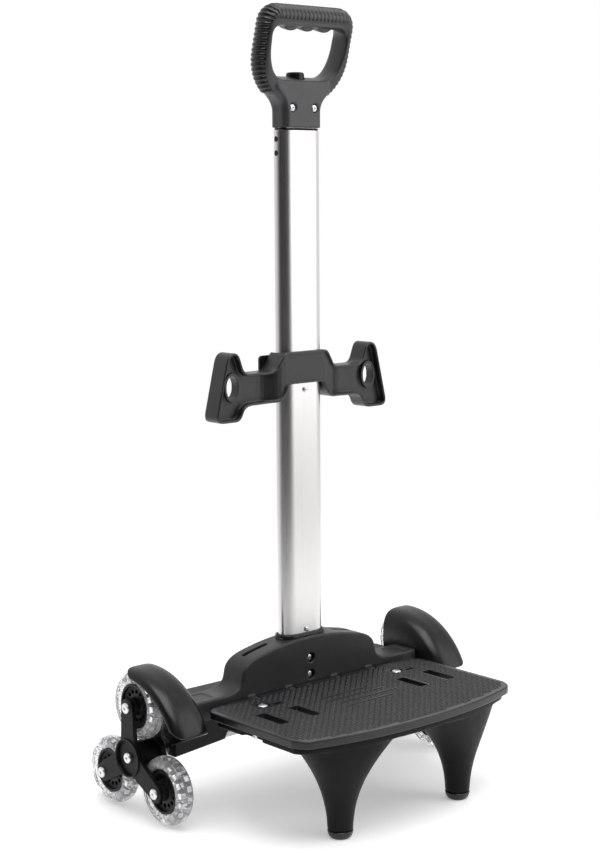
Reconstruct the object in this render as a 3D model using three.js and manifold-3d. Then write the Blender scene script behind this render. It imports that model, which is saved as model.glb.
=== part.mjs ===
// A stair-climbing bag trolley: a flat-oval mast with a telescopic D handle, a bag bracket half way up,
// a folding foot plate on two horn legs, and two three-wheel clusters that roll over the steps.
// Millimetres, +Z up, +X along the axle, the foot plate towards -Y.
import * as THREE from "three";
import { mergeVertices } from "three/addons/utils/BufferGeometryUtils.js";
import Module from "manifold-3d";

const wasm = await Module();
wasm.setup();

// ---------------------------------------------------------------- driving dimensions

const GAP = 0.3; // between pieces that touch
const ROUND = 20; // sides of a wheel
const SMALL_ROUND = 10; // sides of a bolt or a small hole

// Wheels and their three-armed clusters. The hub axis lies behind the mast.
const WHEEL_R = 35;
const TYRE_HALF_W = 9.6;
const RIM_R = 23;
const RIM_HALF_W = 7.5;
const WEB_HALF_W = 4;
const CORE_HUB = { r: 9, halfW: 11.2 };
const WHEEL_MID_X = 186;
const STAR_R = 51.6;
const HUB_Y = 32;
const HUB_Z = WHEEL_R + STAR_R / 2;
const ARM_END_R = 9.5;
const STAR_HUB_R = 20;
const BARREL_R = 15;
const BOLT_R = 4;
const BOLT_HEAD_R = 5.5;
const AXLE_R = 6;
const AXLE_STUB_R = 4;
const STAR_OUTER_X = [197.5, 202.5];
const STAR_INNER_X = [168.5, 174.5];
const BOLT_END_X = 205;

// Mudguards, round the hub axis.
const FENDER_X = [155, 203];
const FENDER_R = 91.8;
const FENDER_WALL = 3;
const FENDER_FRONT_DEG = 24;
const FENDER_REAR_DEG = 93;

// Mast: a flat oval tube.
const MAST_HALF_W = 27.5;
const MAST_HALF_D = 10.5;
const MAST_WALL = 1.5;
const MAST_Z = [100, 684];
const BUSH_WALL = 1.7;
const MAST_SCREW_Z = { lower: 166.5, upper: 420 };
const STUD_Z = [661, 675];
const STUD_R = 2.6;

// Base housing and the beam that runs out to the mudguards.
const HOUSING_Y = [-18, 15];
const HOUSING_TOP = 160;
const HOUSING_BOTTOM = 84;
const BEAM_TOP = 118;
const BEAM_BOTTOM = 97;
const BEAM_HALF_W = FENDER_X[0] - GAP;
const CARRIER_Y = [HOUSING_Y[1] + GAP, 48];
const HOUSING_SCREW_Z = { lower: 119, upper: 137 };
const HOUSING_SLOT = { x: [45, 77], y: [-1, 4], floor: 128 };

// Foot plate, hinged along the front of the housing.
const PLATE_TOP = 112;
const PLATE_T = 8;
const PLATE_HALF_W = 148;
const PLATE_FRONT_Y = -191;
const PLATE_CORNER_Y = -174.5;
const HINGE_Y = -23.1;
const HINGE_Z = PLATE_TOP - PLATE_T / 2;
const KNUCKLE_R = 4;
const PIN_R = 2;
const LUG_X = [32, 82];
const LUG_HALF_W = 4;
const DECK_T = 7;
const DECK_INSET = 5;
const OUTER_SLOT = { x: [111, 120], y: [-110, -72] };
const INNER_SLOT = { x: [70.5, 79], y: [-110, -74.5] };
const WINDOW = { x: [67, 124], y: [-113, -66], floor: 84 };
const PLATE_BOLT_X = 93.6;
const PLATE_BOLT_Y = -50;

// Legs under the plate.
const LEG_X = 82;
const LEG_Y = -152;
const LEG_TIP_R = 12.8;
const LEG_FLARE = 36;
const CAP_H = 8;

// Bag bracket on the mast.
const BRACKET_Z = [427, 460];
const BRACKET_Y = [-10.5, 10];
const BRACKET_FRONT_Y = -14.5;
const EYE_X = 93;
const EYE_Z = 428.5;
const CLAMP_SCREW_X = 36;
const CLAMP_SCREW_Z = 443.5;

// D handle. Its loop leans forward about the pivot line.
const NECK_Z = 687;
const NECK_HALF_W = 27;
const HANDLE_HALF_D = 12.5;
const LOOP_Z = 733;
const LOOP_LEAN = THREE.MathUtils.degToRad(15);
const LOOP_HALF_W = 60.5;
const LOOP_TOP = 76;
const LOOP_CORNER = 20;
const CORE_INSET = 6.5;
const HANDLE_SCREW_X = 14.7;
const HANDLE_SCREW_Z = 706;
const BUTTON_R = 9.3;
const BUTTON_Y = 1.5;
const BUTTON_Z = [724, 742];

// Inner tube of the handle and the lock at its foot.
const TUBE_HALF_W = 23.6;
const TUBE_HALF_D = 6.8;
const TUBE_WALL = 1.2;
const TUBE_Z = [330, 706];
const LOCK_Z = 341;
const ROD_R = 2;
const SPRING_Z = [709.5, BUTTON_Z[0] - GAP];

// ---------------------------------------------------------------- materials

function finish(color, roughness, metalness = 0) {
  return () => new THREE.MeshStandardMaterial({ color, roughness, metalness });
}
const BLACK = finish(0x1b1b1d, 0.55);
const BLACK_MATT = finish(0x161617, 0.7);
const RUBBER = finish(0x101011, 0.85);
const ALUMINIUM = finish(0xb9b9bb, 0.35, 1);
const STEEL = finish(0xd2d3d6, 0.25, 1);
const CLEAR = finish(0xd9dde0, 0.15);

// ---------------------------------------------------------------- solids

// A closed geometry as a manifold solid, and back.
function solid(geometry) {
  const bare = geometry.clone();
  bare.deleteAttribute("normal");
  bare.deleteAttribute("uv");
  const merged = mergeVertices(bare, 1e-4);
  return new wasm.Manifold(
    new wasm.Mesh({
      numProp: 3,
      vertProperties: merged.attributes.position.array,
      triVerts: new Uint32Array(merged.index.array),
    }),
  );
}

function geometryOf(made) {
  const mesh = made.getMesh();
  const geometry = new THREE.BufferGeometry();
  geometry.setAttribute("position", new THREE.BufferAttribute(mesh.vertProperties, 3));
  geometry.setIndex(new THREE.BufferAttribute(mesh.triVerts, 1));
  const flat = geometry.toNonIndexed();
  flat.computeVertexNormals();
  return flat;
}

function joined(...solids) {
  return solids.reduce((sum, next) => sum.add(next));
}

function cut(body, ...tools) {
  return tools.reduce((left, tool) => left.subtract(tool), body);
}

// A block between two opposite corners.
function block([x0, x1], [y0, y1], [z0, z1]) {
  const geometry = new THREE.BoxGeometry(x1 - x0, y1 - y0, z1 - z0);
  return solid(geometry.translate((x0 + x1) / 2, (y0 + y1) / 2, (z0 + z1) / 2));
}

// A round bar along an axis between two stations, centred on the two other coordinates.
function bar(axis, [from, to], radius, [a, b], sides = SMALL_ROUND) {
  const geometry = new THREE.CylinderGeometry(radius, radius, to - from, sides);
  const middle = (from + to) / 2;
  if (axis === "x") geometry.rotateZ(-Math.PI / 2).translate(middle, a, b);
  if (axis === "y") geometry.translate(a, middle, b);
  if (axis === "z") geometry.rotateX(Math.PI / 2).translate(a, b, middle);
  return solid(geometry);
}

// An outline in (x, z) made thick along y.
function thickInY(shape, [y0, y1], curveSegments = 8) {
  const geometry = new THREE.ExtrudeGeometry(shape, {
    depth: y1 - y0,
    bevelEnabled: false,
    curveSegments,
  });
  return solid(geometry.rotateX(Math.PI / 2).translate(0, y1, 0));
}

// An outline in (x, y) made thick along z.
function thickInZ(shape, [z0, z1], curveSegments = 6) {
  const geometry = new THREE.ExtrudeGeometry(shape, {
    depth: z1 - z0,
    bevelEnabled: false,
    curveSegments,
  });
  return solid(geometry.translate(0, 0, z0));
}

// An outline in (y, z) made thick along x.
function thickInX(shape, [x0, x1], curveSegments = 8) {
  const geometry = new THREE.ExtrudeGeometry(shape, {
    depth: x1 - x0,
    bevelEnabled: false,
    curveSegments,
  });
  const turn = new THREE.Matrix4().makeBasis(
    new THREE.Vector3(0, 1, 0),
    new THREE.Vector3(0, 0, 1),
    new THREE.Vector3(1, 0, 0),
  );
  return solid(geometry.applyMatrix4(turn).translate(x0, 0, 0));
}

// A profile of [radius, station] pairs turned about the z axis.
function turned(profile, sides = ROUND) {
  const points = profile.map(([r, z]) => new THREE.Vector2(r, z));
  return solid(new THREE.LatheGeometry(points, sides).rotateX(Math.PI / 2));
}

// The same about the x axis: a station is an x.
function turnedInX(profile, [y, z], sides = ROUND) {
  const points = profile.map(([r, x]) => new THREE.Vector2(r, x));
  const geometry = new THREE.LatheGeometry(points, sides);
  return solid(geometry.rotateZ(-Math.PI / 2).translate(0, y, z));
}

// A flat oval: two straight sides with round ends.
function oval(halfW, halfD) {
  const shape = new THREE.Shape();
  const end = halfW - halfD;
  shape.absarc(end, 0, halfD, -Math.PI / 2, Math.PI / 2);
  shape.absarc(-end, 0, halfD, Math.PI / 2, (3 * Math.PI) / 2);
  return shape;
}

function ovalRing(outer, inner) {
  const shape = oval(...outer);
  shape.holes.push(oval(...inner));
  return shape;
}

// An outline given for x >= 0 from its lowest point to its top, completed by its mirror image.
function mirrored(half) {
  const other = half
    .filter(([x]) => x > 0)
    .reverse()
    .map(([x, y]) => [-x, y]);
  return new THREE.Shape([...half, ...other].map(([x, y]) => new THREE.Vector2(x, y)));
}

// ---------------------------------------------------------------- the assembly

const trolley = new THREE.Group();
trolley.name = "bag_trolley";

function add(name, made, material) {
  const mesh = new THREE.Mesh(geometryOf(made), material());
  mesh.name = name;
  trolley.add(mesh);
}

const SIDES = [
  ["left", -1],
  ["right", 1],
];

function onSide(sign, [x0, x1]) {
  return sign > 0 ? [x0, x1] : [-x1, -x0];
}

// ---------------------------------------------------------------- base

// Arch-shaped front with round shoulders that sweep out into the beam.
function housingOutline() {
  const shape = new THREE.Shape();
  shape.moveTo(0, HOUSING_BOTTOM);
  shape.lineTo(92, HOUSING_BOTTOM);
  shape.lineTo(100, BEAM_BOTTOM);
  shape.lineTo(BEAM_HALF_W, BEAM_BOTTOM);
  shape.lineTo(BEAM_HALF_W, BEAM_TOP);
  shape.lineTo(118, BEAM_TOP);
  shape.bezierCurveTo(102, 121, 94, 122, 92.5, 133);
  shape.bezierCurveTo(91, 145, 80, 150, 60, 153.5);
  shape.quadraticCurveTo(30, HOUSING_TOP, 0, HOUSING_TOP);
  return mirrored(shape.getPoints(5).map((p) => [p.x, p.y]));
}

function addHousing() {
  const mastSocket = thickInZ(oval(MAST_HALF_W + GAP, MAST_HALF_D + GAP), [
    MAST_Z[0] - GAP,
    HOUSING_TOP + 1,
  ]);
  let body = cut(thickInY(housingOutline(), HOUSING_Y), mastSocket);
  for (const [, sign] of SIDES) {
    const mouth = [HOUSING_SLOT.floor, HOUSING_TOP];
    body = cut(body, block(onSide(sign, HOUSING_SLOT.x), HOUSING_SLOT.y, mouth));
    for (const x of LUG_X) {
      const span = onSide(sign, [x - LUG_HALF_W, x + LUG_HALF_W]);
      const lug = block(span, [HINGE_Y, HOUSING_Y[0] + 2], [HINGE_Z - KNUCKLE_R, HINGE_Z + KNUCKLE_R]);
      body = joined(body, lug, bar("x", span, KNUCKLE_R, [HINGE_Y, HINGE_Z]));
    }
  }
  const pinBore = bar("x", [-LUG_X[1] - 6, LUG_X[1] + 6], PIN_R + GAP, [HINGE_Y, HINGE_Z]);
  const seat = HOUSING_Y[0] + 5;
  for (const [level, z] of Object.entries(HOUSING_SCREW_Z)) {
    body = cut(body, bar("y", [HOUSING_Y[0] - 1, seat], 5, [0, z]));
    add("housing_screw_" + level, bar("y", [seat - 2.5, seat - GAP], 3.6, [0, z]), STEEL);
  }
  add("base_housing", cut(body, pinBore), BLACK);
  add(
    "hinge_pin",
    bar("x", [-LUG_X[1] - 5, LUG_X[1] + 5], PIN_R, [HINGE_Y, HINGE_Z]),
    STEEL,
  );
}

// Carrier that holds the axle behind the housing: deeper at the wheels than in the middle.
function addCarrier() {
  const outline = mirrored([
    [0, 70],
    [84, 70],
    [89, 60],
    [BEAM_HALF_W, 54.5],
    [BEAM_HALF_W, 112],
    [0, 112],
  ]);
  const bore = bar("x", [-FENDER_X[1], FENDER_X[1]], AXLE_R + GAP, [HUB_Y, HUB_Z], 16);
  add("axle_carrier", cut(thickInY(outline, CARRIER_Y), bore), BLACK_MATT);

  const stubEnd = STAR_OUTER_X[1] - 2;
  const shoulder = STAR_OUTER_X[0] - 0.7;
  const profile = [
    [0, -stubEnd],
    [AXLE_STUB_R, -stubEnd],
    [AXLE_STUB_R, -shoulder],
    [AXLE_R, -shoulder],
    [AXLE_R, shoulder],
    [AXLE_STUB_R, shoulder],
    [AXLE_STUB_R, stubEnd],
    [0, stubEnd],
  ];
  add("axle", turnedInX(profile, [HUB_Y, HUB_Z], 16), STEEL);
}

// Quarter-round mudguard: a shell turned about the hub axis and cut to its arc.
function addFender(side, sign) {
  const [inner, outer] = FENDER_X;
  const under = FENDER_R - FENDER_WALL;
  const section = [
    [12, inner],
    [80, inner],
    [88, inner + 4],
    [FENDER_R, inner + 12],
    [FENDER_R, outer - 8],
    [FENDER_R - 1.4, outer],
    [under - 0.4, outer],
    [under, outer - 8],
    [under, inner + 13],
    [86, inner + 7],
    [79, inner + FENDER_WALL],
    [12, inner + FENDER_WALL],
    [12, inner],
  ].map(([r, x]) => [r, sign * x]);
  const ring = turnedInX(sign < 0 ? section.reverse() : section, [HUB_Y, HUB_Z], 40);
  const arc = new THREE.Shape();
  const front = Math.PI - THREE.MathUtils.degToRad(FENDER_FRONT_DEG);
  const rear = Math.PI - THREE.MathUtils.degToRad(FENDER_REAR_DEG);
  arc.moveTo(HUB_Y, HUB_Z);
  for (let i = 0; i <= 4; i++) {
    const angle = rear + ((front - rear) * i) / 4;
    arc.lineTo(HUB_Y + 130 * Math.cos(angle), HUB_Z + 130 * Math.sin(angle));
  }
  const wedge = thickInX(arc, onSide(sign, [inner - 1, outer + 1]));
  add("fender_" + side, ring.intersect(wedge), BLACK);
}

// ---------------------------------------------------------------- mast

function addMast() {
  const outer = [MAST_HALF_W, MAST_HALF_D];
  const hollow = [MAST_HALF_W - MAST_WALL, MAST_HALF_D - MAST_WALL];
  let tube = thickInZ(ovalRing(outer, hollow), MAST_Z);
  for (const z of STUD_Z) {
    tube = cut(tube, bar("x", [-MAST_HALF_W - 1, MAST_HALF_W + 1], STUD_R + GAP, [0, z]));
  }
  add("mast_tube", tube, ALUMINIUM);

  const bushOuter = hollow.map((half) => half - GAP);
  const bushInner = bushOuter.map((half) => half - BUSH_WALL);
  const sleeve = thickInZ(ovalRing(bushOuter, bushInner), [650, MAST_Z[1] + GAP]);
  const rim = thickInZ(ovalRing(outer, bushInner), [MAST_Z[1] + GAP, MAST_Z[1] + 2]);
  let bush = joined(sleeve, rim);
  for (const [, sign] of SIDES) {
    for (const z of STUD_Z) {
      const span = onSide(sign, [bushOuter[0] - 1, MAST_HALF_W - 0.2]);
      bush = joined(bush, bar("x", span, STUD_R, [0, z]));
    }
  }
  add("mast_bushing", bush, BLACK);

  const lip = ovalRing([MAST_HALF_W + 3, MAST_HALF_D + 3], [MAST_HALF_W + GAP, MAST_HALF_D + GAP]);
  add("mast_collar", thickInZ(lip, [HOUSING_TOP + GAP, HOUSING_TOP + 3]), BLACK);

  for (const [level, z] of Object.entries(MAST_SCREW_Z)) {
    const head = [-MAST_HALF_D - 2, -MAST_HALF_D - GAP];
    add("mast_screw_" + level, bar("y", head, 2.6, [0, z]), STEEL);
  }
}

// ---------------------------------------------------------------- bag bracket

// Half of the butterfly outline. Each corner holds its place and the way it moves when the outline is inset.
function butterfly(inset) {
  const corners = [
    [0, BRACKET_Z[0], 0, -1],
    [22, BRACKET_Z[0], -0.4, -1],
    [25, 420, -1, -0.4],
    [38, 410, -0.4, -1],
    [74, 409, -0.4, -1],
    [81, 404, -0.8, -0.6],
    [86, 396, -0.8, -0.8],
    [90, 394, -0.5, -1],
    [110, 394, 0.5, -1],
    [114.5, 397, 1, -0.5],
    [115.5, 404, 1, 0],
    [102, 457, 1, 0.2],
    [98, 462, 0.7, 0.8],
    [92, 463.5, 0, 1],
    [87, 460, -0.8, 0.7],
    [82, 447, -0.9, 0.5],
    [76, 441.5, -0.5, 1],
    [44, 441.5, 0.4, 1],
    [29, BRACKET_Z[1], 0.4, 1],
    [0, BRACKET_Z[1], 0, 1],
  ];
  return mirrored(corners.map(([x, z, nx, nz]) => [Math.max(0, x - inset * nx), z - inset * nz]));
}

function eyeOutline(halfW, halfH) {
  const shape = new THREE.Shape();
  shape.absellipse(0, 0, halfW, halfH, 0, 2 * Math.PI);
  return shape;
}

function eye(sign, halfW, halfH, span) {
  return thickInY(eyeOutline(halfW, halfH), span, 10).translate([sign * EYE_X, 0, EYE_Z]);
}

function addBracket() {
  const centre = block([-29, 29], [BRACKET_FRONT_Y, BRACKET_Y[1]], BRACKET_Z);
  let body = joined(thickInY(butterfly(0), BRACKET_Y), centre);
  const channel = block(
    [-MAST_HALF_W - GAP, MAST_HALF_W + GAP],
    [-MAST_HALF_D - GAP, BRACKET_Y[1] + 1],
    [380, 480],
  );
  const recess = cut(
    thickInY(butterfly(2.4), [BRACKET_Y[0] - 1, BRACKET_Y[0] + 5]),
    block([-34, 34], [-30, 30], [380, 480]),
  );
  body = cut(body, channel, recess);
  for (const [, sign] of SIDES) {
    body = joined(body, eye(sign, 10.2, 14.6, BRACKET_Y));
    body = cut(body, eye(sign, 7.4, 11.8, [BRACKET_Y[0] - 1, BRACKET_Y[1] + 1]));
    const place = [sign * CLAMP_SCREW_X, CLAMP_SCREW_Z];
    body = cut(body, bar("y", [-4, BRACKET_Y[1] + 1], 2 + GAP, place));
  }
  add("bag_bracket", body, BLACK);

  const clampY = [BRACKET_Y[1] + 0.8, BRACKET_Y[1] + 4.5];
  let clamp = block([-42, 42], clampY, [BRACKET_Z[0] + 2, BRACKET_Z[1] - 4]);
  for (const [side, sign] of SIDES) {
    const place = [sign * CLAMP_SCREW_X, CLAMP_SCREW_Z];
    clamp = cut(clamp, bar("y", [clampY[0] - 1, clampY[1] + 1], 2 + GAP, place));
    const shank = bar("y", [-2, clampY[1] + GAP + 0.2], 2, place);
    const head = bar("y", [clampY[1] + GAP, clampY[1] + 2.6], 4, place);
    add("bracket_screw_" + side, joined(shank, head), STEEL);
  }
  add("bracket_clamp", clamp, BLACK_MATT);
}

// ---------------------------------------------------------------- foot plate and legs

// Plan of the plate: straight sides, round corners and a front edge that bows out.
function plateOutline(inset) {
  const w = PLATE_HALF_W - inset;
  const back = HINGE_Y - inset;
  const shape = new THREE.Shape();
  shape.moveTo(0, PLATE_FRONT_Y + inset);
  shape.quadraticCurveTo(74, PLATE_FRONT_Y + inset, w - 11, PLATE_CORNER_Y + inset);
  shape.quadraticCurveTo(w, PLATE_CORNER_Y + inset + 3, w, PLATE_CORNER_Y + 15);
  shape.lineTo(w, back - 16);
  shape.quadraticCurveTo(w, back, w - 22, back);
  shape.lineTo(0, back);
  return mirrored(shape.getPoints(4).map((p) => [p.x, p.y]));
}

// The four slots for luggage straps.
function strapSlots() {
  const through = [PLATE_TOP - PLATE_T - 1, PLATE_TOP + 1];
  return SIDES.flatMap(([, sign]) =>
    [OUTER_SLOT, INNER_SLOT].map((slot) => block(onSide(sign, slot.x), slot.y, through)),
  );
}

function addPlate() {
  const slab = thickInZ(plateOutline(0), [PLATE_TOP - PLATE_T, PLATE_TOP]);
  const knuckle = bar("x", [-118, 118], KNUCKLE_R, [HINGE_Y, HINGE_Z], 16);
  const pinBore = bar("x", [-LUG_X[1] - 7, LUG_X[1] + 7], PIN_R + GAP, [HINGE_Y, HINGE_Z]);
  let plate = cut(joined(slab, knuckle), pinBore, ...strapSlots());
  for (const [side, sign] of SIDES) {
    for (const x of LUG_X) {
      const reach = LUG_HALF_W + 0.6;
      const notch = block(onSide(sign, [x - reach, x + reach]), [HINGE_Y - KNUCKLE_R - 0.9, 0], [90, 120]);
      plate = cut(plate, notch);
    }
    const place = [sign * PLATE_BOLT_X, PLATE_BOLT_Y];
    plate = cut(
      plate,
      bar("z", [90, 120], 2.8, place),
      bar("z", [PLATE_TOP - 2, PLATE_TOP + 1], 7, place, 16),
    );
    const shank = bar("z", [99, PLATE_TOP - 1], 2.5, place);
    const head = bar("z", [PLATE_TOP - 2 + GAP, PLATE_TOP + GAP], 5, place);
    add("plate_bolt_" + side, joined(shank, head), STEEL);
  }
  add("foot_plate", plate, BLACK);
}

// Radius of a leg at a height: nearly straight at the foot, opening like a horn into the deck.
function legRadius(z, top) {
  return LEG_TIP_R + LEG_FLARE * Math.pow(z / top, 2.3);
}

function addLegs() {
  const deckZ = [PLATE_TOP - PLATE_T - GAP - DECK_T, PLATE_TOP - PLATE_T - GAP];
  const stations = [CAP_H + GAP, 24, 40, 54, 66, 76, 84, 90, deckZ[0]];
  const horn = stations.map((z) => [legRadius(z, deckZ[0]), z]);
  const profile = [[0, stations[0]], ...horn, [horn.at(-1)[0], deckZ[1]], [0, deckZ[1]]];
  const outline = plateOutline(DECK_INSET);
  const inside = thickInZ(outline, [0, deckZ[1]]);
  const deck = cut(thickInZ(outline, deckZ), block([-200, 200], [-36, 0], [80, 120]));
  let frame = deck;
  for (const [, sign] of SIDES) {
    const leg = turned(profile).translate([sign * LEG_X, LEG_Y, 0]);
    frame = joined(frame, leg.intersect(inside));
  }
  for (const [side, sign] of SIDES) {
    const opening = [WINDOW.floor, deckZ[1] + 1];
    frame = cut(frame, block(onSide(sign, WINDOW.x), WINDOW.y, opening));
    frame = cut(frame, bar("z", [90, 120], 2.8, [sign * PLATE_BOLT_X, PLATE_BOLT_Y]));
    const pocket = onSide(sign, [PLATE_HALF_W - DECK_INSET - 4, PLATE_HALF_W]);
    frame = cut(frame, block(pocket, [-107, -78], [deckZ[0] - 1, deckZ[1] + 1]));
    const screw = onSide(sign, [PLATE_HALF_W - DECK_INSET - 3.7, PLATE_HALF_W - DECK_INSET - 1.5]);
    add("deck_screw_" + side, bar("x", screw, 3, [-94, deckZ[0] + DECK_T / 2]), STEEL);
  }
  add("leg_frame", frame, BLACK);

  const cap = [
    [0, 0],
    [8.5, 0],
    [11.6, 2],
    [LEG_TIP_R, 5.5],
    [LEG_TIP_R, CAP_H],
    [0, CAP_H],
  ];
  for (const [side, sign] of SIDES) {
    add("foot_cap_" + side, turned(cap).translate([sign * LEG_X, LEG_Y, 0]), RUBBER);
  }
}

// ---------------------------------------------------------------- handle

// Outline of the leaning loop in its own plane, drawn about the pivot line.
function loopOutline(inset) {
  const w = LOOP_HALF_W - inset;
  const top = LOOP_TOP - inset;
  const r = LOOP_CORNER - inset;
  const shape = new THREE.Shape();
  shape.moveTo(0, -4);
  shape.lineTo(48 - inset, -4);
  shape.quadraticCurveTo(w, 10, w, 28);
  shape.lineTo(w, top - r);
  shape.absarc(w - r, top - r, r, 0, Math.PI / 2);
  shape.lineTo(0, top);
  return mirrored(shape.getPoints(6).map((p) => [p.x, p.y]));
}

function fingerOpening() {
  const shape = new THREE.Shape();
  shape.moveTo(0, 0);
  shape.quadraticCurveTo(34, 0, 44, 22);
  shape.quadraticCurveTo(50, 36, 50, 46);
  shape.quadraticCurveTo(49, 54, 41, 54);
  shape.lineTo(0, 54);
  return mirrored(shape.getPoints(5).map((p) => [p.x, p.y]));
}

// From the loop's own plane to its place: leaning forward about the pivot line.
function leaned(made) {
  const degrees = THREE.MathUtils.radToDeg(LOOP_LEAN);
  return made.rotate([degrees, 0, 0]).translate([0, 0, LOOP_Z]);
}

function neckOutline() {
  const shape = new THREE.Shape();
  shape.moveTo(0, NECK_Z);
  shape.lineTo(NECK_HALF_W, NECK_Z);
  shape.lineTo(NECK_HALF_W, 706);
  shape.quadraticCurveTo(28, 712, 36, 718);
  shape.lineTo(48, 730);
  shape.lineTo(0, 730);
  return mirrored(shape.getPoints(5).map((p) => [p.x, p.y]));
}

function addHandle() {
  const depth = [-HANDLE_HALF_D, HANDLE_HALF_D];
  const core = cut(
    thickInY(loopOutline(CORE_INSET), depth),
    thickInY(fingerOpening(), depth.map((y) => y * 2)),
  );
  const heel = thickInY(loopOutline(0), depth).intersect(block([-90, 90], [-20, 20], [-9, 1.5]));
  let bumps = thickInY(eyeOutline(9, 6), [-6, 8], 8).translate([0, 0, 57]);
  for (const u of [-21, 21]) {
    bumps = joined(bumps, thickInY(eyeOutline(9, 6), [-6, 8], 8).translate([u, 0, 57]));
  }
  let frame = joined(thickInY(neckOutline(), depth), leaned(core), leaned(heel), leaned(bumps));
  const tubeSocket = thickInZ(oval(TUBE_HALF_W + GAP, TUBE_HALF_D + GAP), [NECK_Z - 1, TUBE_Z[1] + GAP]);
  const buttonWell = bar("z", [718, LOOP_Z + 20], BUTTON_R + 0.4, [0, BUTTON_Y], 20);
  const springWell = bar("z", [709, 719], 6.8, [0, BUTTON_Y]);
  const rodHole = bar("z", [700, 712], ROD_R + 0.5, [0, BUTTON_Y]);
  frame = cut(frame, tubeSocket, buttonWell, springWell, rodHole);
  for (const [side, sign] of SIDES) {
    const place = [sign * HANDLE_SCREW_X, HANDLE_SCREW_Z];
    frame = cut(frame, bar("y", [-HANDLE_HALF_D - 1, -HANDLE_HALF_D + 2.4], 4.6, place));
    const span = [-HANDLE_HALF_D + 0.5, -HANDLE_HALF_D + 2.1];
    add("handle_screw_" + side, bar("y", span, 3.7, place), STEEL);
  }
  add("handle_frame", frame, BLACK);

  const band = cut(
    thickInY(loopOutline(0), depth),
    thickInY(loopOutline(CORE_INSET - GAP), depth.map((y) => y * 2)),
    block([-90, 90], [-20, 20], [-20, 1.5 + GAP]),
  );
  add("handle_grip", leaned(band), RUBBER);
}

function addInnerTube() {
  const outer = [TUBE_HALF_W, TUBE_HALF_D];
  const hollow = outer.map((half) => half - TUBE_WALL);
  const pinHole = bar("y", [0, MAST_HALF_D], 3 + GAP, [0, LOCK_Z]);
  add("inner_tube", cut(thickInZ(ovalRing(outer, hollow), TUBE_Z), pinHole), ALUMINIUM);

  const fill = hollow.map((half) => half - GAP);
  const plug = cut(
    thickInZ(oval(...fill), [TUBE_Z[0], TUBE_Z[0] + 32]),
    bar("y", [-MAST_HALF_D, MAST_HALF_D], 3 + GAP, [0, LOCK_Z]),
    bar("z", [LOCK_Z, TUBE_Z[1]], ROD_R + 0.5, [0, BUTTON_Y]),
  );
  add("inner_plug", plug, BLACK_MATT);

  const noseY = MAST_HALF_D - MAST_WALL - GAP;
  add("lock_pin", bar("y", [-2, noseY], 3, [0, LOCK_Z]), STEEL);
}

// A coil spring between the neck's inner wall and the button.
class Coil extends THREE.Curve {
  getPoint(t) {
    const turns = 5;
    const angle = 2 * Math.PI * turns * t;
    const z = SPRING_Z[0] + 0.6 + (SPRING_Z[1] - SPRING_Z[0] - 1.2) * t;
    return new THREE.Vector3(5.2 * Math.cos(angle), BUTTON_Y + 5.2 * Math.sin(angle), z);
  }
}

function addButton() {
  const [low, high] = BUTTON_Z;
  const profile = [
    [0, low],
    [BUTTON_R, low],
    [BUTTON_R, high - 1.5],
    [BUTTON_R - 1.5, high],
    [0, high],
  ];
  add("release_button", turned(profile, 20).translate([0, BUTTON_Y, 0]), BLACK_MATT);
  add("push_rod", bar("z", [LOCK_Z + 9, low - GAP], ROD_R, [0, BUTTON_Y]), STEEL);

  const wire = new THREE.Shape();
  wire.absarc(0, 0, 0.5, 0, 2 * Math.PI);
  const coil = new THREE.ExtrudeGeometry(wire, {
    steps: 45,
    curveSegments: 2,
    extrudePath: new Coil(),
  });
  add("button_spring", solid(coil), STEEL);
}

// ---------------------------------------------------------------- three-wheel clusters

// Place of a wheel's axis round the hub: one arm straight up, two wheels on the floor.
function wheelPlace(index) {
  const angle = Math.PI / 2 + (2 * Math.PI * index) / 3;
  return [HUB_Y + STAR_R * Math.cos(angle), HUB_Z + STAR_R * Math.sin(angle)];
}

// One arm pointing up from the hub, tapered to its round end.
function armSolid(span, hubHalfW) {
  const shape = new THREE.Shape();
  shape.moveTo(-hubHalfW, 0);
  shape.lineTo(hubHalfW, 0);
  shape.lineTo(ARM_END_R, STAR_R);
  shape.absarc(0, STAR_R, ARM_END_R, 0, Math.PI);
  shape.lineTo(-hubHalfW, 0);
  return thickInX(shape, span, 5);
}

function starPlate(span, hubHalfW) {
  let plate = bar("x", span, STAR_HUB_R, [0, 0], ROUND);
  for (let i = 0; i < 3; i++) {
    plate = joined(plate, armSolid(span, hubHalfW).rotate([120 * i, 0, 0]));
  }
  return plate.translate([0, HUB_Y, HUB_Z]);
}

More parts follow.
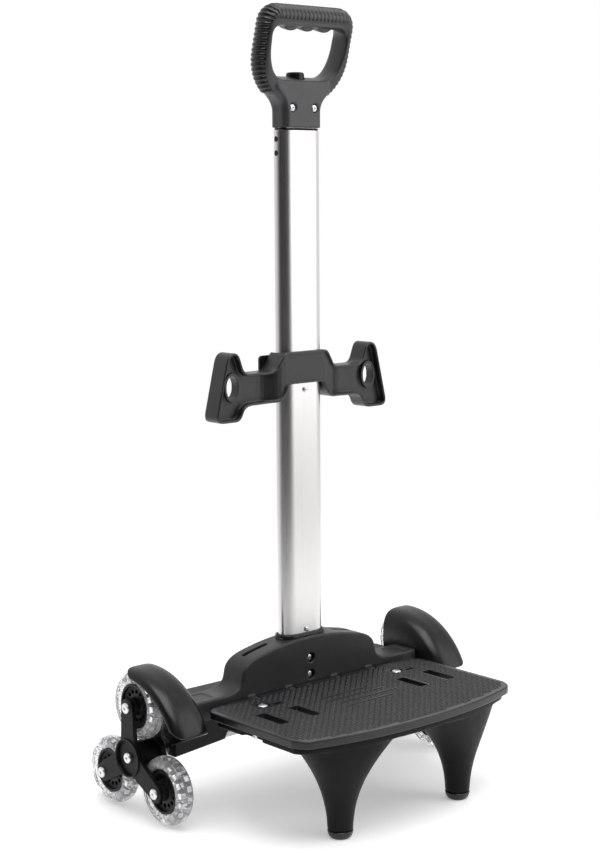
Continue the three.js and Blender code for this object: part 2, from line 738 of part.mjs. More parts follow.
function addCluster(side, sign) {
  const hub = [HUB_Y, HUB_Z];
  const outerSpan = onSide(sign, STAR_OUTER_X);
  const boss = onSide(sign, [STAR_OUTER_X[0], STAR_OUTER_X[1] + 1.5]);
  const recess = onSide(sign, [STAR_OUTER_X[1] - 2, STAR_OUTER_X[1] + 2]);
  let outer = joined(starPlate(outerSpan, 12.5), bar("x", boss, STAR_HUB_R, hub, ROUND));
  outer = cut(
    outer,
    bar("x", recess, STAR_HUB_R - 2.5, hub, ROUND),
    bar("x", onSide(sign, [190, 210]), AXLE_STUB_R + GAP, hub),
  );

  const innerSpan = onSide(sign, STAR_INNER_X);
  const barrel = onSide(sign, [STAR_INNER_X[0], STAR_OUTER_X[0] - GAP]);
  let inner = joined(starPlate(innerSpan, 12.5), bar("x", barrel, BARREL_R, hub));
  inner = cut(
    inner,
    bar("x", onSide(sign, [160, 196.9]), AXLE_R + GAP, hub, 16),
    bar("x", onSide(sign, [190, 210]), AXLE_STUB_R + GAP, hub),
  );

  const boltEnd = STAR_INNER_X[0] + 2;
  for (let i = 0; i < 3; i++) {
    const place = wheelPlace(i);
    outer = cut(outer, bar("x", onSide(sign, [190, 210]), BOLT_R + GAP, place));
    inner = cut(inner, bar("x", onSide(sign, [boltEnd - 0.5, boltEnd + 8]), BOLT_R + GAP, place));
    addWheel(side + "_" + (i + 1), sign, place, boltEnd);
  }
  add("star_outer_" + side, outer, BLACK);
  add("star_inner_" + side, inner, BLACK_MATT);

  const hubHead = onSide(sign, [STAR_OUTER_X[1] - 2 + GAP, BOLT_END_X - 1]);
  add("hub_bolt_" + side, bar("x", hubHead, BOLT_HEAD_R, hub), STEEL);
}

function addWheel(name, sign, place, boltEnd) {
  const shank = bar("x", onSide(sign, [boltEnd, STAR_OUTER_X[1] + 1]), BOLT_R, place);
  const head = bar("x", onSide(sign, [STAR_OUTER_X[1] + GAP, BOLT_END_X]), BOLT_HEAD_R, place);
  add("wheel_bolt_" + name, joined(shank, head), STEEL);

  const middle = sign * WHEEL_MID_X;
  const half = [
    [BOLT_R + 0.4, CORE_HUB.halfW],
    [CORE_HUB.r, CORE_HUB.halfW],
    [CORE_HUB.r, WEB_HALF_W],
    [19, WEB_HALF_W],
    [19, RIM_HALF_W],
    [RIM_R - GAP, RIM_HALF_W],
  ];
  const otherHalf = half.map(([r, x]) => [r, -x]).reverse();
  const core = [...half, ...otherHalf, half[0]].map(([r, x]) => [r, middle + x]);
  add("wheel_core_" + name, turnedInX(core.reverse(), place, 16), BLACK_MATT);

  const tyre = [
    [RIM_R, RIM_HALF_W],
    [27, TYRE_HALF_W],
    [WHEEL_R - 2, 6.5],
    [WHEEL_R, 0],
    [WHEEL_R - 2, -6.5],
    [27, -TYRE_HALF_W],
    [RIM_R, -RIM_HALF_W],
    [RIM_R, RIM_HALF_W],
  ].map(([r, x]) => [r, middle + x]);
  add("tyre_" + name, turnedInX(tyre.reverse(), place), CLEAR);
}

addHousing();
addCarrier();
addMast();
addBracket();
addPlate();
addLegs();
addHandle();
addInnerTube();
addButton();
for (const [side, sign] of SIDES) {
  addFender(side, sign);
  addCluster(side, sign);
}

// The origin is the middle of the footprint: half way between the plate's front edge and the rear tyres.
const REAR_Y = wheelPlace(2)[0] + WHEEL_R;
trolley.position.y = -(PLATE_FRONT_Y + REAR_Y) / 2;

export default trolley;
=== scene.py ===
"""Looks of a stair-climbing bag trolley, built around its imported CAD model.

Every piece is made in millimetres about the mast's axis, +Z up, +X along the axle and the foot plate
towards -Y. piece() brings it into the frame, in metres, and hands it to the body that it rides on.
"""

from math import copysign, cos, degrees, hypot, pi, radians, sin, sqrt

import bmesh
import bpy
from mathutils import Matrix, Vector
from mathutils.geometry import intersect_line_line_2d


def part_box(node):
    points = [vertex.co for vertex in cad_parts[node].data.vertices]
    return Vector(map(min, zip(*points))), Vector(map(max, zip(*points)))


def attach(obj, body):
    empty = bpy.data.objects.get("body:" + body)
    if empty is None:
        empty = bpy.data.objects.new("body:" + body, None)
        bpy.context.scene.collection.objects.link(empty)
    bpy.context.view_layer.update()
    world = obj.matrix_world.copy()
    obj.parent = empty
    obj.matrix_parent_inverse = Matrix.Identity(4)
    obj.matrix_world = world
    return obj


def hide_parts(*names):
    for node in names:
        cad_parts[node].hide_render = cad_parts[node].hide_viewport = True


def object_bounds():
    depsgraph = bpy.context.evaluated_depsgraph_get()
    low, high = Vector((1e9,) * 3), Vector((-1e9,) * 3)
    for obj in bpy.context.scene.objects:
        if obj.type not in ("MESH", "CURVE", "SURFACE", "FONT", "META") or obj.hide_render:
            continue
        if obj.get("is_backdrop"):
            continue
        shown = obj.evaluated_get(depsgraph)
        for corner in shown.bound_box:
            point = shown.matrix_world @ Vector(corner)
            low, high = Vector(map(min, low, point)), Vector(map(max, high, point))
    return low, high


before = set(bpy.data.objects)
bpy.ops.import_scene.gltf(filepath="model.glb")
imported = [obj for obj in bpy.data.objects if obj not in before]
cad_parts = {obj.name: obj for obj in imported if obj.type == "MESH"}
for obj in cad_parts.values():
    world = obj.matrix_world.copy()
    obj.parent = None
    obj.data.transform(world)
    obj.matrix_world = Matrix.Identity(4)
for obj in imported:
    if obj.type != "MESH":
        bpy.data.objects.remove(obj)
CAD_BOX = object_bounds()

MM = 0.001
MAST_LOW, MAST_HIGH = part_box("mast_tube")
MAST_AXIS = Vector((0, (MAST_LOW.y + MAST_HIGH.y) / 2, 0))
TO_FRAME = Matrix.Translation(MAST_AXIS) @ Matrix.Scale(MM, 4)
SIDES = (("left", -1), ("right", 1))
SIGNS = (-1, 1)


def extent(node):
    """A node's (low, high) along x, y and z, in millimetres about the mast's axis."""
    low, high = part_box(node)
    low, high = (low - MAST_AXIS) / MM, (high - MAST_AXIS) / MM
    return list(zip(low, high))


def middle(span):
    return (span[0] + span[1]) / 2


# ---- sizes taken from the frame

_, HOUSING_Y, HOUSING_Z = extent("base_housing")
_, CARRIER_Y, CARRIER_Z = extent("axle_carrier")
MAST_X, MAST_Y, MAST_Z = extent("mast_tube")
COLLAR_X, COLLAR_Y, COLLAR_Z = extent("mast_collar")
PLATE_X, PLATE_Y, _ = extent("foot_plate")
DECK_Z = extent("leg_frame")[2]
CAP_X, CAP_Y, CAP_Z = extent("foot_cap_right")
FENDER_X, _, FENDER_Z = extent("fender_right")
HUB = tuple(middle(span) for span in extent("hub_bolt_right")[1:])
OUTER_X = extent("star_outer_right")[0]
INNER_X = extent("star_inner_right")[0]
TYRE_X, _, TYRE_Z = extent("tyre_right_1")
WHEEL_R = (TYRE_Z[1] - TYRE_Z[0]) / 2
STAR_R = middle(TYRE_Z) - HUB[1]
TUBE_X, TUBE_Y, TUBE_Z = extent("inner_tube")
BUTTON_X, BUTTON_Y, BUTTON_Z = extent("release_button")
HINGE = tuple(middle(span) for span in extent("hinge_pin")[1:])
BRACKET_X, BRACKET_Y, BRACKET_Z = extent("bag_bracket")

AXLE_BORE, BOLT_BORE = 6.3, 4.3
MAST_PASSAGE = (27.8, 10.8)
SNAP_HOLES_Z = (661, 675)
LUGS_X = (32, 82)
PLATE_BOLT = (93.6, -50)
EYE = (93, 428.5)
LOOP_Z = 733
LOOP_LEAN = radians(15)
LOOP_HALF_W = 60.5
LOOP_TOP = 76
HEEL = 4
NECK_FOOT = 686.4
BAR_R = 11
BAR_DEPTH = 12.5


# ---- outlines in a plane


def points(*pairs):
    return [Vector(p) for p in pairs]


def polar(centre, wide, turn, tall=None):
    """The point of a circle, or of an ellipse, at an angle."""
    return Vector((centre[0] + wide * cos(turn), centre[1] + (tall or wide) * sin(turn)))


def arc(centre, radius, start, end, count=8):
    """Points on a circle from one angle to another, in degrees. The radius may be a pair."""
    wide, tall = radius if isinstance(radius, tuple) else (radius, radius)
    turns = [radians(start + (end - start) * i / count) for i in range(count + 1)]
    return [polar(centre, wide, a, tall) for a in turns]


def curve(*handles, count=8):
    """Points on a Bezier curve with any number of handles, without the first one."""
    made = []
    for i in range(1, count + 1):
        row, t = [Vector(h) for h in handles], i / count
        while len(row) > 1:
            row = [a.lerp(b, t) for a, b in zip(row, row[1:])]
        made.append(row[0])
    return made


def drawn(*steps):
    """A line through points. A list curves on from the last point: its further handles and its count."""
    made = []
    for step in steps:
        if isinstance(step, list):
            made += curve(made[-1], *step[:-1], count=step[-1])
        else:
            made.append(Vector(step))
    return made


def distinct(outline):
    """The outline without the points that repeat the one before them."""
    return [p for i, p in enumerate(outline) if (p - outline[i - 1]).length > 1e-4]


def mirrored(half):
    """An outline given for x >= 0, completed by its mirror image."""
    return distinct(half + [Vector((-p.x, p.y)) for p in reversed(half) if p.x > 1e-6])


def ring_of(radius, centre=(0, 0), count=32):
    return arc(centre, radius, 0, 360, count)[:-1]


def oval(half_w, half_d, count=16):
    """Two straight sides with round ends."""
    end = half_w - half_d
    return distinct(arc((end, 0), half_d, -90, 90, count) + arc((-end, 0), half_d, 90, 270, count))


def crowned(half_w, half_d, count):
    """Section of the mast: between a straight-sided oval and an ellipse, so its wide faces bow a little."""
    made = []
    for i in range(count):
        turn = 2 * pi * (i + 0.5) / count
        across, deep = cos(turn), sin(turn)
        end = copysign(half_w - half_d, across)
        straight = Vector((end + half_d * across, half_d * deep))
        ellipse = Vector((half_w**2 * across, half_d**2 * deep)) / hypot(half_w * across, half_d * deep)
        made.append(straight.lerp(ellipse, 0.25))
    return made


def rounded(u, v, radius, count=4):
    """A rectangle between two spans, with round corners."""
    made = []
    corners = ((u[1], v[1], 0), (u[0], v[1], 90), (u[0], v[0], 180), (u[1], v[0], 270))
    for x, y, start in corners:
        centre = (x - copysign(radius, x - middle(u)), y - copysign(radius, y - middle(v)))
        made += arc(centre, radius, start, start + 90, count)
    return distinct(made)


def offset(outline, by):
    """An anticlockwise outline moved outwards, each corner along its mitre."""
    if by == 0:
        return outline
    moved = []
    for i, here in enumerate(outline):
        before = (here - outline[i - 1]).normalized()
        after = (outline[(i + 1) % len(outline)] - here).normalized()
        out_before, out_after = Vector((before.y, -before.x)), Vector((after.y, -after.x))
        mitre = out_before + out_after
        moved.append(here + mitre * (by / max(mitre.dot(out_before), 0.4)))
    return moved


def holds(outline, x, y):
    """Whether a point lies inside an outline."""
    inside = False
    for i, a in enumerate(outline):
        b = outline[i - 1]
        if (a.y > y) != (b.y > y) and x < (b.x - a.x) * (y - a.y) / (b.y - a.y) + a.x:
            inside = not inside
    return inside


# ---- meshes


def xz(u, v, depth):
    return (u, depth, v)


def xy(u, v, depth):
    return (u, v, depth)


def yz(u, v, depth):
    return (depth, u, v)


ACROSS = {"x": yz, "y": xz, "z": xy}


def finished(bm):
    bmesh.ops.recalc_face_normals(bm, faces=bm.faces)
    mesh = bpy.data.meshes.new("part")
    bm.to_mesh(mesh)
    bm.free()
    return mesh


def add_skin(bm, rings, loop=False):
    """A closed skin through successive rings, capped at both ends unless it loops round."""
    rows = [[bm.verts.new(p) for p in ring] for ring in rings]
    pairs = list(zip(rows, rows[1:]))
    if loop:
        pairs.append((rows[-1], rows[0]))
    for low, high in pairs:
        for i, corner in enumerate(low):
            bm.faces.new((low[i - 1], corner, high[i], high[i - 1]))
    if not loop:
        bm.faces.new(rows[0])
        bm.faces.new(rows[-1])


def skin(rings, loop=False):
    bm = bmesh.new()
    add_skin(bm, rings, loop)
    return finished(bm)


def quarter(steps):
    return [pi / 2 * k / steps for k in range(steps + 1)]


def layers(outline, plane, rows):
    """A closed skin through rows of (growth of the outline, depth)."""
    return skin([[plane(*p, at) for p in offset(outline, by)] for by, at in rows])


def prism(outline, depth, plane, edge=0.0, steps=3):
    """An outline made thick, its outer edges rounded to a radius."""
    low, high = depth
    rows = [(0, low)]
    if edge:
        rows = [(edge * (sin(a) - 1), low + edge * (1 - cos(a))) for a in quarter(steps)]
    rows += [(by, low + high - at) for by, at in reversed(rows)]
    return layers(outline, plane, rows)


def opening(outline, depth, plane, rims=(0, 0), steps=3):
    """A cutter whose ends flare out to round the rims that it leaves. An end without a rim is a floor."""
    rows = []
    for at, rim, way in ((depth[0], rims[0], 1), (depth[1], rims[1], -1)):
        end = [(0, at)]
        if rim:
            end = [(rim, at - 2 * way)]
            end += [(rim * (1 - sin(a)), at + way * rim * (1 - cos(a))) for a in quarter(steps)]
        rows += end if way > 0 else list(reversed(end))
    return layers(outline, plane, rows)


def lathe(profile, axis, centre, sides=40, loop=False):
    """A profile of (radius, station) pairs turned about an axis through the centre."""
    plane = ACROSS[axis]
    rings = [[plane(*p, at) for p in ring_of(max(r, 0.02), centre, sides)] for r, at in profile]
    return skin(rings, loop)


def rod(radius, ends, axis, centre, sides):
    return lathe([(radius, end) for end in ends], axis, centre, sides)


def pipe(section, half_w, half_d, rows, count):
    """A closed wall through rows of (inset, height), about a section given by its half width and depth."""
    rings = [[xy(*p, z) for p in section(half_w - by, half_d - by, count)] for by, z in rows]
    return skin(rings, loop=True)


def drawn_tube(section, half_w, half_d, ends, wall, edge, count):
    low, high = ends
    rows = [(edge, low), (0, low + edge), (0, high - edge), (edge, high), (wall, high), (wall, low)]
    return pipe(section, half_w, half_d, rows, count)


def box(x, y, z, edge=0.0):
    return prism(rounded(x, y, max(edge, 0.01), 2), z, xy, edge)


def placed(name, data):
    """A new object in the scene."""
    obj = bpy.data.objects.new(name, data)
    bpy.context.scene.collection.objects.link(obj)
    return obj


def discard(obj):
    used = obj.data
    bpy.data.objects.remove(obj)
    bpy.data.meshes.remove(used)


def applied(host):
    """The mesh of a temporary object after its modifiers. The object is used up."""
    seen = host.evaluated_get(bpy.context.evaluated_depsgraph_get())
    mesh = bpy.data.meshes.new_from_object(seen)
    discard(host)
    return mesh


def combined(operation, base, *others):
    """A mesh after exact booleans with the others, which are used up."""
    host = placed("host", base)
    guests = [placed("guest", other) for other in others]
    for guest in guests:
        step = host.modifiers.new("step", "BOOLEAN")
        step.operation = operation
        step.solver = "EXACT"
        step.object = guest
    mesh = applied(host)
    for guest in guests:
        discard(guest)
    return mesh


def cut(base, *tools):
    return combined("DIFFERENCE", base, *tools)


def merged(base, *others):
    return combined("UNION", base, *others)


def common(base, other):
    return combined("INTERSECT", base, other)


def joined(*meshes):
    """Several closed meshes as one, each left whole."""
    bm = bmesh.new()
    for mesh in meshes:
        bm.from_mesh(mesh)
        bpy.data.meshes.remove(mesh)
    return finished(bm)


def moulded(mesh, voxel, passes):
    """The mesh as one seamless skin with softened edges, as a moulding has."""
    host = placed("host", mesh)
    remesh = host.modifiers.new("remesh", "REMESH")
    remesh.mode = "VOXEL"
    remesh.voxel_size = voxel
    smooth = host.modifiers.new("smooth", "SMOOTH")
    smooth.factor = 0.5
    smooth.iterations = passes
    return applied(host)


def moved(mesh, matrix):
    mesh.transform(matrix)
    if matrix.determinant() < 0:
        mesh.flip_normals()
    return mesh


def on_side(mesh, sign):
    """A mesh made for the right side, as it is there or mirrored to the left."""
    return moved(mesh, Matrix.Scale(sign, 4, (1, 0, 0)))


def piece(name, mesh, finish, body, sharp=35):
    """Brings a mesh into the frame as a finished piece that stands for the CAD node of its name."""
    mesh.name = name + "_skin"
    mesh.transform(TO_FRAME)
    mesh.materials.clear()
    mesh.materials.append(FINISH[finish])
    mesh.polygons.foreach_set("use_smooth", [True] * len(mesh.polygons))
    mesh.set_sharp_from_angle(angle=radians(sharp))
    obj = placed(mesh.name, mesh)
    normals = obj.modifiers.new("even_faces", "WEIGHTED_NORMAL")
    normals.keep_sharp = True
    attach(obj, body)
    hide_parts(name)


# ---- materials


NOISE_SPAN = (0.3, 0.7)


def set_inputs(node, **values):
    for name, value in values.items():
        node.inputs[name.replace("_", " ")].default_value = value


def add_node(tree, kind, source=None, target=None, **values):
    """A new node of that kind, with a source linked to the input that the target names."""
    made = tree.nodes.new("ShaderNode" + kind)
    set_inputs(made, **values)
    if source:
        tree.links.new(source, made.inputs[target])
    return made


class Nodes:
    """A material's node tree with short ways to add to it."""

    def __init__(self, name):
        self.material = bpy.data.materials.new(name)
        self.material.use_nodes = True
        self.tree = self.material.node_tree
        self.shader = self.tree.nodes["Principled BSDF"]
        self.place = self.tree.nodes.new("ShaderNodeTexCoord").outputs["Object"]

    def set(self, **values):
        set_inputs(self.shader, **values)

    def add(self, kind, source, target, **values):
        return add_node(self.tree, kind, source, target, **values)

    def link(self, source, target):
        self.tree.links.new(source, target)

    def noise(self, per_metre, detail=2.0, stretch=(1, 1, 1)):
        """Noise with that many cells to the metre, stretched along the axes."""
        scaled = self.add("Mapping", self.place, "Vector", Scale=stretch).outputs["Vector"]
        return self.add("TexNoise", scaled, "Vector", Scale=per_metre, Detail=detail).outputs["Fac"]

    def tint(self, factor, dark, light):
        """Colour between two tones, by a noise."""
        made = self.add("ValToRGB", factor, "Fac")
        for stop, position, tone in zip(made.color_ramp.elements, NOISE_SPAN, (dark, light)):
            stop.position = position
            stop.color = (*tone, 1)
        self.link(made.outputs["Color"], self.shader.inputs["Base Color"])

    def roughness(self, factor, low, high):
        """Roughness between two values, by a noise."""
        made = self.add("MapRange", factor, "Value", To_Min=low, To_Max=high)
        set_inputs(made, From_Min=NOISE_SPAN[0], From_Max=NOISE_SPAN[1])
        self.link(made.outputs["Result"], self.shader.inputs["Roughness"])

    def bump(self, height, depth, strength=1.0):
        """Relief of that depth in metres."""
        made = self.add("Bump", height, "Height", Distance=depth, Strength=strength)
        self.link(made.outputs["Normal"], self.shader.inputs["Normal"])


def plastic(name, tone, rough, grain, relief, gloss=0.3):
    """Moulded plastic: cloudy tone, a fine spark-eroded grain and a little wear in its gloss."""
    made = Nodes(name)
    made.tint(made.noise(38, 3), [c * 0.82 for c in tone], [c * 1.18 for c in tone])
    made.roughness(made.noise(140, 4), rough - 0.05, rough + 0.05)
    made.bump(made.noise(grain, 3), relief, 0.6)
    made.set(Specular_IOR_Level=gloss)
    return made.material


def clear_plastic():
    """Cast polyurethane: water-clear, glossy, with faint flow marks."""
    made = Nodes("clear_polyurethane")
    made.set(IOR=1.46, Transmission_Weight=0.84)
    made.tint(made.noise(55, 2), (0.9, 0.91, 0.92), (0.97, 0.975, 0.975))
    made.roughness(made.noise(90, 3), 0.02, 0.07)
    made.bump(made.noise(160, 2), 0.0002, 0.35)
    return made.material


def aluminium():
    """Anodised extrusion: fine lines drawn along the tube under a silky skin."""
    made = Nodes("anodised_aluminium")
    made.set(Metallic=1.0)
    lines = made.noise(900, 3, (1, 1, 0.004))
    made.tint(made.noise(7, 2, (1, 1, 0.25)), (0.71, 0.7, 0.69), (0.77, 0.76, 0.75))
    made.roughness(lines, 0.27, 0.32)
    made.bump(lines, 0.00002, 0.12)
    return made.material


def steel():
    """Bright zinc plate with faint turning marks."""
    made = Nodes("plated_steel")
    made.set(Metallic=1.0)
    made.tint(made.noise(240, 3), (0.66, 0.66, 0.67), (0.82, 0.82, 0.83))
    made.roughness(made.noise(700, 3), 0.27, 0.42)
    made.bump(made.noise(1500, 2), 0.00003, 0.4)
    return made.material


FINISH = {
    "housing": plastic("textured_black_plastic", (0.019, 0.019, 0.021), 0.42, 1500, 0.00014, 0.42),
    "bracket": plastic("grained_black_plastic", (0.0155, 0.0152, 0.0165), 0.36, 1600, 0.0001, 0.55),
    "plate": plastic("tread_black_plastic", (0.011, 0.011, 0.0125), 0.3, 1300, 0.0001, 0.4),
    "fender": plastic("polished_black_plastic", (0.004, 0.004, 0.0045), 0.29, 2100, 0.00005, 0.37),
    "leg": plastic("dull_black_plastic", (0.006, 0.006, 0.0062), 0.42, 1900, 0.00008, 0.12),
    "star": plastic("spoke_black_plastic", (0.005, 0.005, 0.0053), 0.4, 2000, 0.00006, 0.15),
    "smooth": plastic("satin_black_plastic", (0.006, 0.006, 0.0064), 0.33, 2100, 0.00006, 0.32),
    # The handle's black is several times lighter than the other plastics. Part of that is its own tone, and
    # part is painted light that brightens the lit front of the neck.
    "handle": plastic("handle_plastic_lightened_by_painted_light", (0.043, 0.041, 0.0445), 0.38, 1700, 0.0001, 0.55),
    "dark": plastic("dark_plastic", (0.006, 0.006, 0.0065), 0.46, 1500, 0.00012),
    "rubber": plastic("grip_rubber", (0.006, 0.006, 0.0065), 0.3, 1900, 0.00005, 0.5),
    "aluminium": aluminium(),
    "steel": steel(),
    "clear": clear_plastic(),
}


# ---- fasteners


def head(radius, height, seat, way, axis, centre):
    """A domed screw head that rises from its seat."""
    profile = [(radius, seat), (radius, seat + way * height * 0.4)]
    for k in range(1, 6):
        turn = pi / 2 * k / 5
        r = radius * (0.25 + 0.75 * cos(turn))
        profile.append((r, seat + way * height * (0.4 + 0.6 * sin(turn))))
    return lathe(profile, axis, centre, 32)


def cross_cutter(radius, top, way, axis, centre):
    """A tapered cross for a screwdriver, sunk from the top of a head."""
    plane = ACROSS[axis]
    reach, blade, sunk = radius * 0.55, radius * 0.13, radius * 0.42
    arms = []
    for long, short in (((-reach, reach), (-blade, blade)), ((-blade, blade), (-reach, reach))):
        rings = []
        for at, shrink in ((top + way, 1.15), (top - way * sunk, 0.45)):
            u = [centre[0] + c * (shrink if long is not short and abs(c) > blade else 1) for c in long]
            v = [centre[1] + c * (shrink if abs(c) > blade else 1) for c in short]
            corners = ((u[0], v[0]), (u[1], v[0]), (u[1], v[1]), (u[0], v[1]))
            rings.append([plane(*c, at) for c in corners])
        arms.append(skin(rings))
    return merged(*arms)


def screw(node, radius, height, axis, way, body, shank=None):
    """A cross-head screw in the place of a CAD node. Its head is at the node's outer end."""
    spans = dict(zip("xyz", extent(node)))
    ends = spans.pop(axis)
    centre = tuple(middle(s) for s in spans.values())
    top = ends[1] if way > 0 else ends[0]
    made = head(radius, height, top - way * height, way, axis, centre)
    made = cut(made, cross_cutter(radius, top, way, axis, centre))
    if shank:
        other = ends[0] if way > 0 else ends[1]
        made = joined(made, rod(shank, (other, top - way * height), axis, centre, 20))
    piece(node, made, "steel", body)


# ---- base


def housing_outline():
    half = points((0, HOUSING_Z[0]), (90, HOUSING_Z[0]))
    half += curve((90, 84), (94, 84), (96, 88), count=3)
    half += drawn(
        (99, 94.5), (103, 97), (154.7, 97), (154.7, 118), (122, 118),
        [(102, 118), (94, 120), (92.5, 133), 10],
        [(91, 145), (80, 150), (60, 153.5), 10],
        [(30, HOUSING_Z[1]), (0, HOUSING_Z[1]), 8],
    )
    return mirrored(half)


def make_housing():
    face = (-18, HOUSING_Y[1])
    body = prism(housing_outline(), face, xz, 1.6)
    lugs, seat = [], face[0] + 3
    for sign in SIGNS:
        for x in LUGS_X:
            profile = arc(HINGE, 4, 90, 270, 8) + points((seat, HINGE[1] - 4), (seat, HINGE[1] + 4))
            lugs.append(prism(profile, (sign * x - 4, sign * x + 4), yz))
    body = merged(body, *lugs)
    tools = [prism(oval(*MAST_PASSAGE), (99, 170), xy)]
    for sign in SIGNS:
        span = sorted((sign * 45, sign * 77))
        tools.append(prism(rounded(span, (-1, 4), 1.6), (128, 170), xy))
        panel = sorted((sign * 126, sign * 147))
        tools.append(prism(rounded(panel, (-12, 9), 2), (117.2, 125), xy))
    for z in (119, 137):
        tools.append(prism(ring_of(5, (0, z)), (-22, -13), xz))
    body = moulded(cut(body, *tools), 0.8, 2)
    piece("base_housing", body, "housing", "base")

    for name in ("housing_screw_lower", "housing_screw_upper"):
        screw(name, 3.6, 1.9, "y", -1, "base")
    pin = extent("hinge_pin")[0]
    made = lathe([(1.5, pin[0]), (2, pin[0] + 0.5), (2, pin[1] - 0.5), (1.5, pin[1])], "x", HINGE, 20)
    piece("hinge_pin", made, "steel", "base")


def make_carrier():
    half = drawn((0, CARRIER_Z[1] - 42), (82, 70), [(86, 70), (90, 60), 4])
    half += points((154.7, CARRIER_Z[0]), (154.7, CARRIER_Z[1]), (0, CARRIER_Z[1]))
    body = prism(mirrored(half), CARRIER_Y, xz, 1.4)
    tools = [rod(AXLE_BORE, (-160, 160), "x", HUB, 32)]
    floor = CARRIER_Y[1] - 7
    for sign in SIGNS:
        for start, end, low in ((4, 27, 74), (31, 54, 74), (58, 80, 74), (95, 120, 63), (124, 150, 60)):
            span = sorted((sign * start, sign * end))
            pocket = rounded(span, (low, 108), 2)
            tools.append(opening(pocket, (floor, CARRIER_Y[1]), xz, (0, 0.8)))
    piece("axle_carrier", cut(body, *tools), "dark", "base")

    end, shoulder = OUTER_X[0] + 3, OUTER_X[0] - 0.7
    half = [(5.6, 0), (5.6, 150), (6, 151), (6, shoulder - 0.6), (5.4, shoulder), (4, shoulder), (4, end)]
    profile = [(r, -x) for r, x in reversed(half)] + half[1:]
    piece("axle", lathe(profile, "x", HUB, 32), "steel", "base")


def fender_paths():
    """Outer and inner lines of the mudguard's section, as (radius, station) pairs of equal number."""
    inner, outer = FENDER_X
    crown = FENDER_Z[1] - HUB[1]
    foot = [(crown - 8, inner), (crown, inner + 6), (crown, inner + 24), 18]
    line = drawn((13, inner), (40, inner), (60, inner), foot)
    line += curve((crown, outer - 17), (crown, outer - 6), (crown - 2, outer), (crown - 9, outer), count=12)
    under = []
    for i, here in enumerate(line):
        before, after = line[max(i - 1, 0)], line[min(i + 1, len(line) - 1)]
        along = (after - before).normalized()
        under.append(here + Vector((-along.y, along.x)) * 3)
    return line, under


def make_fender(side, sign):
    outer, under = fender_paths()
    corner, start, end, steps = 11, 24, 93, 30
    bm = bmesh.new()
    sheets = []
    for line in (outer, under):
        rows = []
        for i, (radius, x) in enumerate(line):
            edge = max(0.0, corner - (FENDER_X[1] - outer[i].y))
            back = corner - sqrt(max(corner**2 - edge**2, 0))
            trim = degrees(back / outer[i].x)
            row = []
            for j in range(steps + 1):
                angle = radians(start + trim + (end - start - 2 * trim) * j / steps)
                y, z = HUB[0] - radius * cos(angle), HUB[1] + radius * sin(angle)
                row.append(bm.verts.new((x, y, z)))
            rows.append(row)
        sheets.append(rows)
    top, low = sheets
    for rows in sheets:
        for a, b in zip(rows, rows[1:]):
            for j in range(steps):
                bm.faces.new((a[j], b[j], b[j + 1], a[j + 1]))
    for a, b in ((top[0], low[0]), (top[-1], low[-1])):
        for j in range(steps):
            bm.faces.new((a[j], a[j + 1], b[j + 1], b[j]))
    for i in range(len(top) - 1):
        for j in (0, steps):
            bm.faces.new((top[i][j], top[i + 1][j], low[i + 1][j], low[i][j]))
    bmesh.ops.recalc_face_normals(bm, faces=bm.faces)
    sharp = [e for e in bm.edges if len(e.link_faces) == 2 and e.calc_face_angle(0) > radians(50)]
    bmesh.ops.bevel(bm, geom=sharp, offset=1.0, segments=3, affect="EDGES", profile=0.5)
    name = "fender_" + side
    made = on_side(finished(bm), sign)
    piece(name, made, "fender", "base", sharp=50)


# ---- mast


def make_mast():
    half_w, half_d = MAST_X[1], MAST_Y[1]
    tube = drawn_tube(crowned, half_w, half_d, MAST_Z, 1.5, 0.3, 64)
    studs = [rod(2.9, (-30, 30), "x", (0, z), 24) for z in SNAP_HOLES_Z]
    tube = cut(tube, *studs)
    piece("mast_tube", tube, "aluminium", "base")

    top = extent("mast_bushing")[2][1]
    rows = [(1.1, top - 1.7), (0.8, top - 1.4), (0.8, top - 0.5), (1.2, top), (3.1, top), (3.5, top - 0.4)]
    rows += [(3.5, 650), (1.8, 650), (1.8, top - 1.7)]
    bush = pipe(crowned, half_w, half_d, rows, 64)
    pegs = []
    for sign in SIGNS:
        for z in SNAP_HOLES_Z:
            profile = [(2.6, sign * 24.5), (2.6, sign * 26.6), (1.9, sign * 27)]
            pegs.append(lathe(profile, "x", (0, z), 24))
    bush = merged(bush, *pegs)
    piece("mast_bushing", bush, "dark", "base")

    low, high = COLLAR_Z
    rows = [(0, low), (0, low + 0.8), (0.5, high - 0.6), (1.2, high)]
    rows += [(2, high - 0.1), (2.5, high - 0.5), (2.5, low)]
    ring = pipe(oval, COLLAR_X[1], COLLAR_Y[1], rows, 20)
    piece("mast_collar", ring, "smooth", "base")
    for name in ("mast_screw_lower", "mast_screw_upper"):
        screw(name, 2.6, 1.5, "y", -1, "base")


# ---- bag bracket


def butterfly():
    """Outline of the bracket: a centre that clasps the mast and two wings that hang and rise."""
    low, high = BRACKET_Z
    half = drawn(
        (0, 427), (20, 427), [(24, 427), (26, 421), 4], [(31, 410), (39, 409.5), 5],
        (70, 409), [(79, 409), (82, 402), 5], [(85, low), (91, low), 5],
        (108, low), [(117, low), (BRACKET_X[1] - 0.4, 404), 7],
        (103.5, 452), [(101, high), (93, high), 7], [(87.5, high), (85, 456), 5],
        (82.5, 449), [(80, 441.5), (73, 441.5), 5],
        (48, 441.5), [(41, 441.5), (38, 446), 4],
        (30.5, 457), [(28.5, 460), (25, 460), 3], (0, 460),
    )
    return mirrored(half)


def plan_band(front, centre_front, near, far, back):
    """Plan of a layer whose front steps forward in a smooth curve at the mast."""
    bend = middle((near, far))
    step = [(bend, centre_front), (bend, front), (far, front), 8]
    half = drawn((0, centre_front), (near, centre_front), step, (130, front), (130, back), (0, back))
    return mirrored(half)


